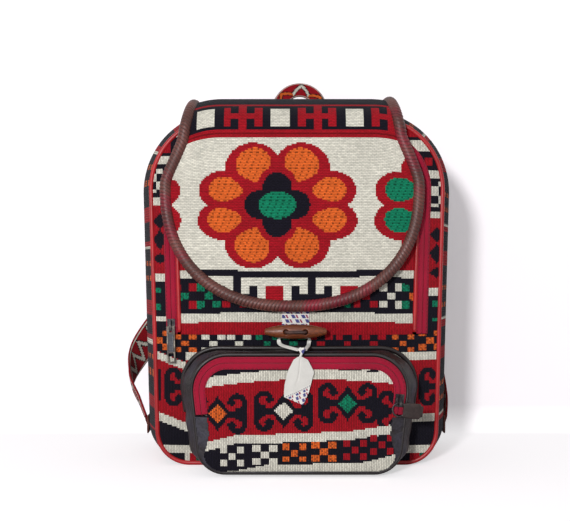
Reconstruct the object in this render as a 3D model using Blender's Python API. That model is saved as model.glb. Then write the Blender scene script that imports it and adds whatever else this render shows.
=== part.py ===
"""Woven wool backpack with a leather-bound flap, an arched zip door and a zipped front pocket.

Metres, +Z up. The origin is on the floor under the middle of the base. The front faces -Y, so a viewer who
looks along +Y sees the flap, with +X to the right.
"""

import math

import bmesh
import bpy
from mathutils import Matrix, Vector

# Seams and walls
SEAM_GAP = 0.0003          # between two pieces that are sewn or laid together
CLOTH = 0.0020             # wool cloth with its lining
GUSSET_WALL = 0.0025       # side wall of the bag
TAPE = 0.0010              # zip tape
CURVE_POWER = 4            # how square the soft bulges are

# Body of the bag
BODY_HEIGHT = 0.354
BODY_HALF_TOP = 0.152
BODY_HALF_BOTTOM = 0.1425
BODY_HALF_DEPTH = 0.065
BODY_TOP_RADIUS = 0.075
BODY_BOTTOM_RADIUS = 0.035
GUSSET_BULGE = 0.014       # how far the side wall swells between the two piped edges
FRONT_CROWN = 0.014        # how far the front swells at its middle
BACK_CROWN = 0.005
BACK_PANEL = 0.006         # cloth with a thin foam
PIPING_RADIUS = 0.0022
PIPING_PROUD = 0.0015      # how far the piping stands in front of the cloth
BORDER_WIDTH = 0.0095      # strip of front cloth outside the zip

# Zip door in the upper front
DOOR_SEAM_HEIGHT = 0.133
ZIP_TAPE_WIDTH = 0.0042
ZIP_COIL_WIDTH = 0.0022
ZIP_COIL_HEIGHT = 0.0016
DOOR_PIPING_RADIUS = 0.0020

# Flap
FLAP_CENTRE_X = -0.005
FLAP_HALF_WIDTH = 0.132    # to the outside of the leather binding
FLAP_TOP_NARROWING = 0.024
FLAP_NARROWING_LENGTH = 0.085
FLAP_WIDEST_HEIGHT = BODY_HEIGHT - 0.073
FLAP_ROUNDNESS = 2.3
FLAP_CLEARANCE = 0.0008    # under the binding, over the piping of the door
FLAP_CLOTH = 0.0014
FLAP_LINING = 0.0008
FLAP_EDGE_ROOM = 0.0022    # between the cloth and the binding, where the outline slants
FLAP_SHOULDER = 0.016      # where the flap starts to turn over the top edge
FLAP_SHOULDER_POWER = 2.5
FLAP_BACK_Y = 0.056
BINDING_RADIUS = 0.0060
LACE_RELIEF = 0.0006       # between the wraps of the leather lace
LACE_PITCH = 0.0085

# Front pocket
POCKET_CENTRE_X = 0.002
POCKET_HEIGHT = 0.117
POCKET_FLOOR = 0.002
POCKET_HALF_TOP = 0.118
POCKET_HALF_BOTTOM = 0.104
POCKET_TOP_RADIUS = 0.034
POCKET_BOTTOM_RADIUS = 0.028
POCKET_FACE_RADIUS = 0.036
POCKET_NARROWING = 0.008   # the pocket's front is this much smaller on each side
POCKET_FACE_RISE = 0.002   # and stands this much above its seam on the bag
POCKET_FRONT_Y = 0.116     # distance of the pocket's piped edge in front of the origin
POCKET_CROWN = 0.007
POCKET_BULGE = 0.005
POCKET_TOP_BULGE = 0.001
POCKET_WALL = 0.0020
POCKET_PIPING_RADIUS = 0.0018
POCKET_WELT_RADIUS = 0.0024
POCKET_ZIP_END = 0.060

# Metal zip pulls
SLIDER_LENGTH = 0.0120
SLIDER_WIDTH = 0.0080
SLIDER_PLATE = 0.0012
SLIDER_HEIGHT = 0.1425     # of the main slider's middle above the floor
BRIDGE_WIDTH = 0.0022
BRIDGE_BAR = 0.0010
PULL_BAR_RADIUS = 0.0008   # half the pull's thickness
PULL_CLEARANCE = 0.0004
PULL_WIDTH = 0.0085
PULL_LENGTH = 0.0360
PULL_WINDOW = 0.0085
PULL_RIM = 0.0014
POCKET_SLIDER_HEIGHT = 0.074
RING_RADIUS = 0.0064
RING_WIRE = 0.0008
TAB_WIDTH = 0.0150
TAB_LENGTH = 0.0170
TAB_THICKNESS = 0.0022

# Toggle, ribbon and cloth label
TOGGLE_CENTRE_X = -0.0015
TOGGLE_HEIGHT = POCKET_HEIGHT + 0.020
TOGGLE_LENGTH = 0.062
TOGGLE_RADIUS = 0.0072
TOGGLE_END_RADIUS = 0.0026
TOGGLE_CLEARANCE = 0.0033
TOGGLE_HOLE_SPACING = 0.019
TOGGLE_HOLE_RADIUS = 0.0022
LACE_RADIUS = 0.0016
LACE_END_ROOM = 0.0002     # between the ends of the lace and the ribbon
RIBBON_WIDTH = 0.027
RIBBON_THICKNESS = 0.0008
RIBBON_TOP = TOGGLE_HEIGHT + 0.049
RIBBON_BOTTOM = TOGGLE_HEIGHT - 0.005
STRING_RADIUS = 0.0008
KNOT_RADIUS = 0.0030
LABEL_WIDTH = 0.029
LABEL_LENGTH = 0.045
LABEL_THICKNESS = 0.0020

# Handle and shoulder straps
HANDLE_CENTRE_X = 0.005
HANDLE_HALF_SPAN = 0.024
HANDLE_TOP = BODY_HEIGHT + 0.059
HANDLE_FOOT = BODY_HEIGHT - 0.0145
HANDLE_SEWN = 0.008        # length of each end that lies on the back panel
HANDLE_LEG = 0.030
HANDLE_BAND = 0.016
HANDLE_THICKNESS = 0.006
STRAP_WIDTH = 0.034
STRAP_THICKNESS = 0.003
STRAP_TOP_X = 0.058
STRAP_TOP_Z = BODY_HEIGHT - 0.029
STRAP_START_DOWN = 0.052   # from the top seam to the first free point
STRAP_START_BACK = 0.020
STRAP_SPREAD = 0.022       # sideways, back and down from each free point to the next
STRAP_REACH = 0.004
STRAP_FALL = 0.036
STRAP_BEND_HEIGHTS = (0.106, 0.076, 0.050)
STRAP_BEND_OUT = {"left": (0.020, 0.028, 0.014), "right": (0.002, 0.006, 0.007)}
PATCH_THICKNESS = 0.0020
PATCH_WIDTH = 0.168
PATCH_HEIGHT = 0.024
ADJUSTER_LENGTH = 0.014
ADJUSTER_WALL = 0.0020
ADJUSTER_CLEARANCE = 0.0006
TAB_END_THICKNESS = 0.0020
TAB_END_HEIGHT = 0.020
BOARD_THICKNESS = 0.0020
BOARD_HALF_LENGTH = 0.098
BOARD_HALF_DEPTH = 0.056

FLAP_DROP = FLAP_WIDEST_HEIGHT - TOGGLE_HEIGHT - 0.019    # down to a lowest point just above the toggle

# The middle of the flap's thickness above the body
FLAP_LIFT = BINDING_RADIUS + DOOR_PIPING_RADIUS + FLAP_CLEARANCE

ARC_STEPS = 7
SIDE_STEPS = 5

WOOL_RED = (0.155, 0.021, 0.034)
WOOL_CREAM = (0.610, 0.597, 0.515)
WOOL_NAVY = (0.012, 0.011, 0.020)
VINYL_RED = (0.380, 0.013, 0.018)
ZIP_CRIMSON = (0.430, 0.007, 0.045)
BROWN_LEATHER = (0.115, 0.038, 0.031)
DARK_LEATHER = (0.018, 0.012, 0.013)
DARK_METAL = (0.050, 0.053, 0.062)
TOGGLE_WOOD = (0.185, 0.052, 0.018)
WHITE_COTTON = (0.720, 0.715, 0.690)


def clear_scene():
    for existing in list(bpy.data.objects):
        bpy.data.objects.remove(existing, do_unlink=True)


def make_material(name, colour, roughness, metallic=0.0):
    material = bpy.data.materials.new(name)
    material.use_nodes = True
    shader = material.node_tree.nodes["Principled BSDF"]
    shader.inputs["Base Color"].default_value = (*colour, 1.0)
    shader.inputs["Roughness"].default_value = roughness
    shader.inputs["Metallic"].default_value = metallic
    return material


def add_object(name, bm, material, origin=(0.0, 0.0, 0.0)):
    """Turn a bmesh in world coordinates into one object whose origin is at the given point."""
    bmesh.ops.recalc_face_normals(bm, faces=bm.faces)
    bmesh.ops.translate(bm, vec=-Vector(origin), verts=bm.verts)
    mesh = bpy.data.meshes.new(name)
    bm.to_mesh(mesh)
    bm.free()
    mesh.shade_smooth()
    mesh.set_sharp_from_angle(angle=math.radians(40.0))
    mesh.materials.append(material)
    made = bpy.data.objects.new(name, mesh)
    made.location = origin
    bpy.context.scene.collection.objects.link(made)
    return made


def loft(sections, closed):
    """Skin a row of equal closed sections. An open row gets a cap at each end."""
    bm = bmesh.new()
    rows = [[bm.verts.new(point) for point in section] for section in sections]
    count = len(rows[0])
    last = len(rows) if closed else len(rows) - 1
    for i in range(last):
        near = rows[i]
        far = rows[(i + 1) % len(rows)]
        for k in range(count):
            bm.faces.new((near[k], near[(k + 1) % count], far[(k + 1) % count], far[k]))
    if not closed:
        bm.faces.new(rows[0])
        bm.faces.new(list(reversed(rows[-1])))
    return bm


def two_sided_grid(outer, inner):
    """Close two equal grids of points into one thin solid."""
    bm = bmesh.new()
    outer_rows = [[bm.verts.new(point) for point in row] for row in outer]
    inner_rows = [[bm.verts.new(point) for point in row] for row in inner]
    rows = len(outer_rows)
    columns = len(outer_rows[0])
    for j in range(rows - 1):
        for i in range(columns - 1):
            for grid in (outer_rows, inner_rows):
                bm.faces.new((grid[j][i], grid[j][i + 1], grid[j + 1][i + 1], grid[j + 1][i]))
    rim = [(0, i) for i in range(columns - 1)]
    rim += [(j, columns - 1) for j in range(rows - 1)]
    rim += [(rows - 1, i) for i in range(columns - 1, 0, -1)]
    rim += [(j, 0) for j in range(rows - 1, 0, -1)]
    for k, (j, i) in enumerate(rim):
        j_next, i_next = rim[(k + 1) % len(rim)]
        bm.faces.new((outer_rows[j][i], outer_rows[j_next][i_next],
                      inner_rows[j_next][i_next], inner_rows[j][i]))
    return bm


def plate(outline, centre, rings, surface, lift_low, lift_high):
    """A thin panel inside an outline, in rings about its centre, laid on a curved surface."""
    bm = bmesh.new()
    sides = []
    for lift in (lift_high, lift_low):
        rows = []
        for r in range(rings, 0, -1):
            share = r / rings
            rows.append([bm.verts.new(surface(centre[0] + share * (x - centre[0]),
                                              centre[1] + share * (z - centre[1]), lift))
                         for x, z in outline])
        middle = bm.verts.new(surface(centre[0], centre[1], lift))
        count = len(outline)
        for near, far in zip(rows, rows[1:]):
            for k in range(count):
                bm.faces.new((near[k], near[(k + 1) % count], far[(k + 1) % count], far[k]))
        for k in range(count):
            bm.faces.new((rows[-1][k], rows[-1][(k + 1) % count], middle))
        sides.append(rows[0])
    count = len(outline)
    for k in range(count):
        bm.faces.new((sides[0][k], sides[0][(k + 1) % count], sides[1][(k + 1) % count], sides[1][k]))
    return bm


def tube_sections(path, radii, sides, closed):
    """Round sections square to a path, turned as little as possible from one to the next."""
    points = [Vector(p) for p in path]
    count = len(points)
    sections = []
    side = None
    for i, point in enumerate(points):
        before = points[(i - 1) % count] if closed or i > 0 else point
        after = points[(i + 1) % count] if closed or i < count - 1 else point
        along = (after - before).normalized()
        if side is None:
            side = along.cross(Vector((0.31, 0.87, 0.38))).normalized()
        side = (side - along * side.dot(along)).normalized()
        up = along.cross(side)
        radius = radii[i] if isinstance(radii, list) else radii
        sections.append([point + radius * (math.cos(a) * side + math.sin(a) * up)
                         for a in (2 * math.pi * k / sides for k in range(sides))])
    return sections


def tube(path, radii, sides=6, closed=False):
    return loft(tube_sections(path, radii, sides, closed), closed)


def block(low, high):
    """A plain box between two corners."""
    bm = bmesh.new()
    bmesh.ops.create_cube(bm, size=1.0)
    size = Vector(high) - Vector(low)
    middle = (Vector(high) + Vector(low)) / 2
    bmesh.ops.scale(bm, vec=size, verts=bm.verts)
    bmesh.ops.translate(bm, vec=middle, verts=bm.verts)
    return bm


def add_cutter(target, name, bm, origin=(0.0, 0.0, 0.0)):
    """Cut a bmesh's shape out of an object and leave the cutter as a guide."""
    cutter = add_object(name, bm, CUTTER_MATERIAL, origin)
    cutter.hide_render = True
    cutter.display_type = "WIRE"
    cut = target.modifiers.new(name, "BOOLEAN")
    cut.operation = "DIFFERENCE"
    cut.solver = "EXACT"
    cut.object = cutter
    return cutter


class Outline:
    """A four-sided outline in x and z with rounded corners, and its parallel lines."""

    def __init__(self, half_bottom, half_top, bottom, top, bottom_radius, top_radius, centre_x=0.0):
        self.corners = [
            (Vector((centre_x - half_bottom, bottom)), bottom_radius),
            (Vector((centre_x + half_bottom, bottom)), bottom_radius),
            (Vector((centre_x + half_top, top)), top_radius),
            (Vector((centre_x - half_top, top)), top_radius),
        ]
        self.normals = []
        for i in range(4):
            along = (self.corners[(i + 1) % 4][0] - self.corners[i][0]).normalized()
            self.normals.append(Vector((along.y, -along.x)))

    def arc_centre(self, i):
        corner, radius = self.corners[i]
        before = self.normals[i - 1]
        after = self.normals[i]
        return corner - radius * (before + after) / (1.0 + before.dot(after))

    def arc(self, i, inset):
        """Points and outward directions round corner i."""
        centre = self.arc_centre(i)
        radius = self.corners[i][1] - inset
        start = math.atan2(self.normals[i - 1].y, self.normals[i - 1].x)
        stop = math.atan2(self.normals[i].y, self.normals[i].x)
        if stop < start:
            stop += 2 * math.pi
        points = []
        for k in range(ARC_STEPS + 1):
            angle = start + (stop - start) * k / ARC_STEPS
            away = Vector((math.cos(angle), math.sin(angle)))
            points.append((centre + radius * away, away))
        return points

    def straight(self, start, stop, normal):
        """Points between two ends, the ends left out."""
        return [(start.lerp(stop, k / SIDE_STEPS), normal) for k in range(1, SIDE_STEPS)]

    def loop(self, inset):
        """The whole parallel line, anticlockwise from the lower left corner."""
        points = []
        for i in range(4):
            here = self.arc(i, inset)
            following = self.arc((i + 1) % 4, inset)
            points += here
            points += self.straight(here[-1][0], following[0][0], self.normals[i])
        return points

    def side_point(self, i, inset, height):
        """The point at a height on the right side (i = 1) or the left side (i = 3)."""
        normal = self.normals[i]
        base = self.corners[i][0] - inset * normal
        along = Vector((-normal.y, normal.x))
        return base + along * (height - base.y) / along.y

    def arch(self, inset, end_height):
        """The parallel line over the top, from the right side's end to the left side's."""
        right = self.arc(2, inset)
        left = self.arc(3, inset)
        first = self.side_point(1, inset, end_height)
        last = self.side_point(3, inset, end_height)
        points = [(first, self.normals[1])]
        points += self.straight(first, right[0][0], self.normals[1])
        points += right
        points += self.straight(right[-1][0], left[0][0], self.normals[2])
        points += left
        points += self.straight(left[-1][0], last, self.normals[3])
        points.append((last, self.normals[3]))
        return points


def swell(x, z, half_width, bottom, top):
    """1 at the middle of a soft panel and 0 at its edges."""
    across = min(1.0, abs(x) / half_width)
    middle = (bottom + top) / 2
    up = min(1.0, abs(z - middle) / (top - middle))
    return (1 - across ** CURVE_POWER) * (1 - up ** CURVE_POWER)


def body_half_width(z):
    return BODY_HALF_BOTTOM + (BODY_HALF_TOP - BODY_HALF_BOTTOM) * z / BODY_HEIGHT


def body_front(x, z, lift):
    """A point on the front of the bag, raised off its cloth by lift."""
    crown = FRONT_CROWN * swell(x, z, body_half_width(z), 0.0, BODY_HEIGHT)
    return Vector((x, -(BODY_HALF_DEPTH + crown + lift), z))


def body_back(x, z, lift):
    crown = BACK_CROWN * swell(x, z, body_half_width(z), 0.0, BODY_HEIGHT)
    return Vector((x, BODY_HALF_DEPTH + crown + lift, z))


def pocket_front(x, z, lift):
    half = POCKET_HALF_TOP - POCKET_NARROWING
    crown = POCKET_CROWN * swell(x - POCKET_CENTRE_X, z, half, POCKET_FLOOR, POCKET_HEIGHT)
    return Vector((x, -(POCKET_FRONT_Y + crown + lift), z))


def gusset_bulge(y):
    """How far the side wall stands out from its outline, at a depth."""
    return GUSSET_BULGE * math.cos(math.pi * y / (2 * GUSSET_HALF_DEPTH))


def gusset_top(x, y):
    """Height of the bag's top over a point of its plan."""
    reach = max(0.0, abs(x) - (BODY_HALF_TOP - BODY_TOP_RADIUS))
    radius = BODY_TOP_RADIUS + gusset_bulge(y)
    return BODY_HEIGHT - BODY_TOP_RADIUS + math.sqrt(max(0.0, radius ** 2 - reach ** 2))


# The side wall ends where the piped edges begin
GUSSET_EDGE_DROP = 2 * PIPING_RADIUS + SEAM_GAP - PIPING_PROUD
GUSSET_HALF_DEPTH = BODY_HALF_DEPTH - GUSSET_EDGE_DROP

# The lower edge of the pocket is sewn just above the piping of the base
PIPING_INSET = PIPING_RADIUS + 0.0004
POCKET_SEAM_FLOOR = PIPING_INSET + PIPING_RADIUS + 4 * SEAM_GAP

BODY = Outline(BODY_HALF_BOTTOM, BODY_HALF_TOP, 0.0, BODY_HEIGHT, BODY_BOTTOM_RADIUS, BODY_TOP_RADIUS)
POCKET_BACK = Outline(POCKET_HALF_BOTTOM, POCKET_HALF_TOP, POCKET_SEAM_FLOOR, POCKET_HEIGHT,
                      POCKET_BOTTOM_RADIUS, POCKET_TOP_RADIUS, POCKET_CENTRE_X)
POCKET_FACE = Outline(POCKET_HALF_BOTTOM - POCKET_NARROWING, POCKET_HALF_TOP - POCKET_NARROWING,
                      POCKET_FLOOR, POCKET_HEIGHT + POCKET_FACE_RISE,
                      POCKET_BOTTOM_RADIUS, POCKET_FACE_RADIUS, POCKET_CENTRE_X)

# Parallel lines on the front of the body, counted inward from its outline
BORDER_OUTER = PIPING_INSET + PIPING_RADIUS + SEAM_GAP
BORDER_INNER = BORDER_OUTER + BORDER_WIDTH
TAPE_OUTER = BORDER_INNER + SEAM_GAP
COIL_OUTER = TAPE_OUTER + ZIP_TAPE_WIDTH + SEAM_GAP
COIL_MIDDLE = COIL_OUTER + ZIP_COIL_WIDTH / 2
INNER_TAPE_OUTER = COIL_OUTER + ZIP_COIL_WIDTH + SEAM_GAP
DOOR_PIPING_INSET = INNER_TAPE_OUTER + ZIP_TAPE_WIDTH + SEAM_GAP + DOOR_PIPING_RADIUS
DOOR_EDGE = DOOR_PIPING_INSET + DOOR_PIPING_RADIUS + SEAM_GAP

# Parallel lines on the front of the pocket
POCKET_PIPING_INSET = POCKET_PIPING_RADIUS + 0.0004
POCKET_TAPE_OUTER = POCKET_PIPING_INSET + POCKET_PIPING_RADIUS + SEAM_GAP
POCKET_COIL_OUTER = POCKET_TAPE_OUTER + ZIP_TAPE_WIDTH + SEAM_GAP
POCKET_COIL_MIDDLE = POCKET_COIL_OUTER + ZIP_COIL_WIDTH / 2
POCKET_INNER_TAPE = POCKET_COIL_OUTER + ZIP_COIL_WIDTH + SEAM_GAP
POCKET_PANEL_EDGE = POCKET_INNER_TAPE + ZIP_TAPE_WIDTH + SEAM_GAP


def strip_along(outline, inset_from, inset_to, end_height, surface, lift_low, lift_high):
    """A flat band that follows an arch between two of its parallel lines."""
    near = outline.arch(inset_from, end_height)
    far = outline.arch(inset_to, end_height)
    sections = []
    for (a, _), (b, _) in zip(near, far):
        sections.append([surface(a.x, a.y, lift_high), surface(b.x, b.y, lift_high),
                         surface(b.x, b.y, lift_low), surface(a.x, a.y, lift_low)])
    return loft(sections, closed=False)


def wall_sections(rims, bulge, top_share, steps):
    """Sections of a side wall that swells between its two edges, flat where it faces down.

    A rim is the two ends of the wall's outer line, those of its inner line, and the outward direction.
    top_share is how much of the swelling is left where the wall faces up.
    """
    sections = []
    for outer, inner, away in rims:
        weight = 1 - max(0.0, -away.y) ** 2 - (1 - top_share) * max(0.0, away.y) ** 2
        lines = []
        for start, end in (outer, inner):
            line = []
            for k in range(steps + 1):
                share = k / steps
                push = bulge * weight * math.sin(math.pi * share)
                line.append(start.lerp(end, share) + Vector((away.x * push, 0.0, away.y * push)))
            lines.append(line)
        sections.append(lines[0] + lines[1][::-1])
    return sections


def build_body():
    rims = []
    for (outer, away), (inner, _) in zip(BODY.loop(0.0), BODY.loop(GUSSET_WALL)):
        ends = [(body_front(p.x, p.y, -GUSSET_EDGE_DROP), body_back(p.x, p.y, -GUSSET_EDGE_DROP))
                for p in (outer, inner)]
        rims.append((ends[0], ends[1], away))
    sections = wall_sections(rims, GUSSET_BULGE, 1.0, 8)
    add_object("body_gusset", loft(sections, closed=True), make_material("body_wool", WOOL_RED, 0.9))

    piping_lift = PIPING_PROUD - PIPING_RADIUS
    for name, surface in (("front_piping", body_front), ("back_piping", body_back)):
        path = [surface(p.x, p.y, piping_lift) for p, _ in BODY.loop(PIPING_INSET)]
        add_object(name, tube(path, PIPING_RADIUS, 6, closed=True), make_material(name, VINYL_RED, 0.35))

    add_object("front_border",
               strip_along(BODY, BORDER_OUTER, BORDER_INNER, DOOR_SEAM_HEIGHT + SEAM_GAP,
                           body_front, -CLOTH, 0.0),
               make_material("border_wool", WOOL_NAVY, 0.9))

    lower = [p for p, _ in BODY.loop(BORDER_OUTER) if p.y < DOOR_SEAM_HEIGHT - SEAM_GAP]
    left = [p for p in lower if p.x < 0 and p.y > BODY_BOTTOM_RADIUS]
    rest = [p for p in lower if p not in left]
    top_right = BODY.side_point(1, BORDER_OUTER, DOOR_SEAM_HEIGHT)
    top_left = BODY.side_point(3, BORDER_OUTER, DOOR_SEAM_HEIGHT)
    seam = [top_right.lerp(top_left, k / 10) for k in range(11)]
    ring = rest + seam + left
    add_object("front_lower_panel",
               plate([(p.x, p.y) for p in ring], (0.0, DOOR_SEAM_HEIGHT / 2), 3, body_front, -CLOTH, 0.0),
               make_material("lower_wool", WOOL_RED, 0.9))

    back_ring = [(p.x, p.y) for p, _ in BODY.loop(BORDER_OUTER)]
    add_object("back_panel",
               plate(back_ring, (0.0, BODY_HEIGHT / 2), 4, body_back, -BACK_PANEL + CLOTH, CLOTH / 2),
               make_material("back_wool", WOOL_NAVY, 0.9))

    floor = GUSSET_WALL + SEAM_GAP
    add_object("base_board",
               block((-BOARD_HALF_LENGTH, -BOARD_HALF_DEPTH, floor),
                     (BOARD_HALF_LENGTH, BOARD_HALF_DEPTH, floor + BOARD_THICKNESS)),
               make_material("board", (0.05, 0.045, 0.04), 0.8))


def build_door():
    end = DOOR_SEAM_HEIGHT + SEAM_GAP
    arch = BODY.arch(DOOR_EDGE, end)
    sill = [arch[-1][0].lerp(arch[0][0], k / 8) for k in range(1, 8)]
    ring = [(p.x, p.y) for p, _ in arch] + [(p.x, p.y) for p in sill]
    centre = (0.0, (DOOR_SEAM_HEIGHT + BODY_HEIGHT) / 2)
    add_object("door_panel", plate(ring, centre, 3, body_front, -CLOTH, 0.0),
               make_material("door_wool", WOOL_RED, 0.9))
    path = [body_front(p.x, p.y, DOOR_PIPING_RADIUS - CLOTH)
            for p, _ in BODY.arch(DOOR_PIPING_INSET, end + DOOR_PIPING_RADIUS)]
    add_object("door_piping", tube(path, DOOR_PIPING_RADIUS), make_material("door_piping", VINYL_RED, 0.35))

    crimson = make_material("zip_crimson", ZIP_CRIMSON, 0.7)
    bands = (
        ("main_zip_outer_tape", TAPE_OUTER, ZIP_TAPE_WIDTH, -TAPE, 0.0),
        ("main_zip_coil", COIL_OUTER, ZIP_COIL_WIDTH, -ZIP_COIL_HEIGHT / 2, ZIP_COIL_HEIGHT / 2),
        ("main_zip_inner_tape", INNER_TAPE_OUTER, ZIP_TAPE_WIDTH, -TAPE, 0.0),
    )
    for name, inset, width, low, high in bands:
        add_object(name, strip_along(BODY, inset, inset + width, end, body_front, low, high), crimson.copy())


def smooth_share(value):
    value = max(0.0, min(1.0, value))
    return value * value * (3 - 2 * value)


def flap_half_width(up):
    """Half the flap's width, up a distance from its widest height."""
    return FLAP_HALF_WIDTH - FLAP_TOP_NARROWING * smooth_share(up / FLAP_NARROWING_LENGTH)


def flap_turn(x, share, lift):
    """The flap's way over the top: 0 at the front shoulder, 1 at the ridge, 2 at the seam behind."""
    shoulder = gusset_top(x, -BODY_HALF_DEPTH) - FLAP_SHOULDER
    ridge = gusset_top(x, 0.0) + lift
    if share <= 1.0:
        angle = share * math.pi / 2
        depth = -body_front(x, shoulder, lift).y
        power = 2 / FLAP_SHOULDER_POWER
        return Vector((x, -depth * math.cos(angle) ** power,
                       shoulder + (ridge - shoulder) * math.sin(angle) ** power))
    y = FLAP_BACK_Y * (share - 1.0)
    return Vector((x, y, gusset_top(x, y) + lift))


def flap_upper_point(across, row, margin, lift):
    """A point above the widest height: rows 0 to 1 go up the front, rows 1 to 3 over the top."""
    shoulder = gusset_top(0.0, -BODY_HALF_DEPTH) - FLAP_SHOULDER
    rise = shoulder - FLAP_WIDEST_HEIGHT
    up = rise * row if row <= 1.0 else rise + (row - 1.0) * FLAP_NARROWING_LENGTH / 2
    x = FLAP_CENTRE_X + across * (flap_half_width(up) - margin)
    if row <= 1.0:
        own_shoulder = gusset_top(x, -BODY_HALF_DEPTH) - FLAP_SHOULDER
        return body_front(x, FLAP_WIDEST_HEIGHT + row * (own_shoulder - FLAP_WIDEST_HEIGHT), lift)
    return flap_turn(x, row - 1.0, lift)


def flap_lower_point(across, down, margin, lift):
    """A point below the widest height, in a rounded grid that ends on the flap's curved edge."""
    u = across * math.sqrt(1 - down * down / 2)
    v = down * math.sqrt(1 - across * across / 2)
    reach = math.hypot(u, v)
    if reach > 0:
        power = FLAP_ROUNDNESS
        edge = reach / (abs(u) ** power + abs(v) ** power) ** (1 / power)
        stretch = 1 + (edge - 1) * reach ** 2
        u *= stretch
        v *= stretch
    x = FLAP_CENTRE_X + u * (FLAP_HALF_WIDTH - margin)
    return body_front(x, FLAP_WIDEST_HEIGHT - v * (FLAP_DROP - margin), lift)


def flap_grid(margin, lift, columns=12):
    rows = []
    upper = [3.0, 2.5, 2.2, 2.0, 1.8, 1.6, 1.4, 1.2, 1.1, 1.0, 0.6, 0.3]
    for row in upper:
        rows.append([flap_upper_point(2 * i / columns - 1, row, margin, lift) for i in range(columns + 1)])
    for step in range(0, 6):
        down = step / 5
        rows.append([flap_lower_point(2 * i / columns - 1, down, margin, lift) for i in range(columns + 1)])
    return rows


def flap_edge(margin, lift):
    """The flap's edge line from the back seam on the left, round the bottom, to the right."""
    upper = [3.0 - 0.1 * k for k in range(21)] + [0.75, 0.5, 0.25]
    left = [flap_upper_point(-1.0, row, margin, lift) for row in upper]
    right = [flap_upper_point(1.0, row, margin, lift) for row in reversed(upper)]
    bottom = []
    for k in range(0, 33):
        angle = math.pi * (1 - k / 32)
        power = 2 / FLAP_ROUNDNESS
        u = math.copysign(abs(math.cos(angle)) ** power, math.cos(angle))
        v = math.sin(angle) ** power if 0 < k < 32 else 0.0
        x = FLAP_CENTRE_X + u * (FLAP_HALF_WIDTH - margin)
        bottom.append(body_front(x, FLAP_WIDEST_HEIGHT - v * (FLAP_DROP - margin), lift))
    return left + bottom + right


def even_path(points, spacing):
    """The same line with points at an even spacing."""
    lengths = [0.0]
    for a, b in zip(points, points[1:]):
        lengths.append(lengths[-1] + (b - a).length)
    count = max(2, round(lengths[-1] / spacing))
    path = []
    place = 0
    for k in range(count + 1):
        target = lengths[-1] * k / count
        while place < len(points) - 2 and lengths[place + 1] < target:
            place += 1
        share = (target - lengths[place]) / (lengths[place + 1] - lengths[place])
        path.append(points[place].lerp(points[place + 1], min(1.0, share)))
    return path


def build_flap():
    cloth_margin = 2 * BINDING_RADIUS + FLAP_EDGE_ROOM
    outer_high = FLAP_LIFT + FLAP_CLOTH
    bm = two_sided_grid(flap_grid(cloth_margin, outer_high), flap_grid(cloth_margin, FLAP_LIFT))
    add_object("flap_panel", bm, make_material("flap_wool", WOOL_CREAM, 0.9))
    lining_high = FLAP_LIFT - SEAM_GAP
    bm = two_sided_grid(flap_grid(cloth_margin, lining_high),
                        flap_grid(cloth_margin, lining_high - FLAP_LINING))
    add_object("flap_lining", bm, make_material("flap_lining", WOOL_NAVY, 0.8))

    path = even_path(flap_edge(BINDING_RADIUS, FLAP_LIFT), LACE_PITCH / 2)
    radii = [BINDING_RADIUS - (LACE_RELIEF if k % 2 else 0.0) for k in range(len(path))]
    add_object("flap_binding", tube(path, radii, 7), make_material("binding_leather", BROWN_LEATHER, 0.45))

    half = flap_half_width(FLAP_NARROWING_LENGTH) - cloth_margin
    sections = []
    seam_y = FLAP_BACK_Y + SEAM_GAP
    for k in range(13):
        x = FLAP_CENTRE_X - half + 2 * half * k / 12
        low = gusset_top(x, seam_y) + SEAM_GAP
        high = gusset_top(x, seam_y) + FLAP_LIFT + FLAP_CLOTH
        sections.append([(x, seam_y, low), (x, seam_y + CLOTH, low),
                         (x, seam_y + CLOTH, high), (x, seam_y, high)])
    add_object("flap_seam_strip", loft(sections, closed=False), make_material("seam_strip", WOOL_NAVY, 0.9))


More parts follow.
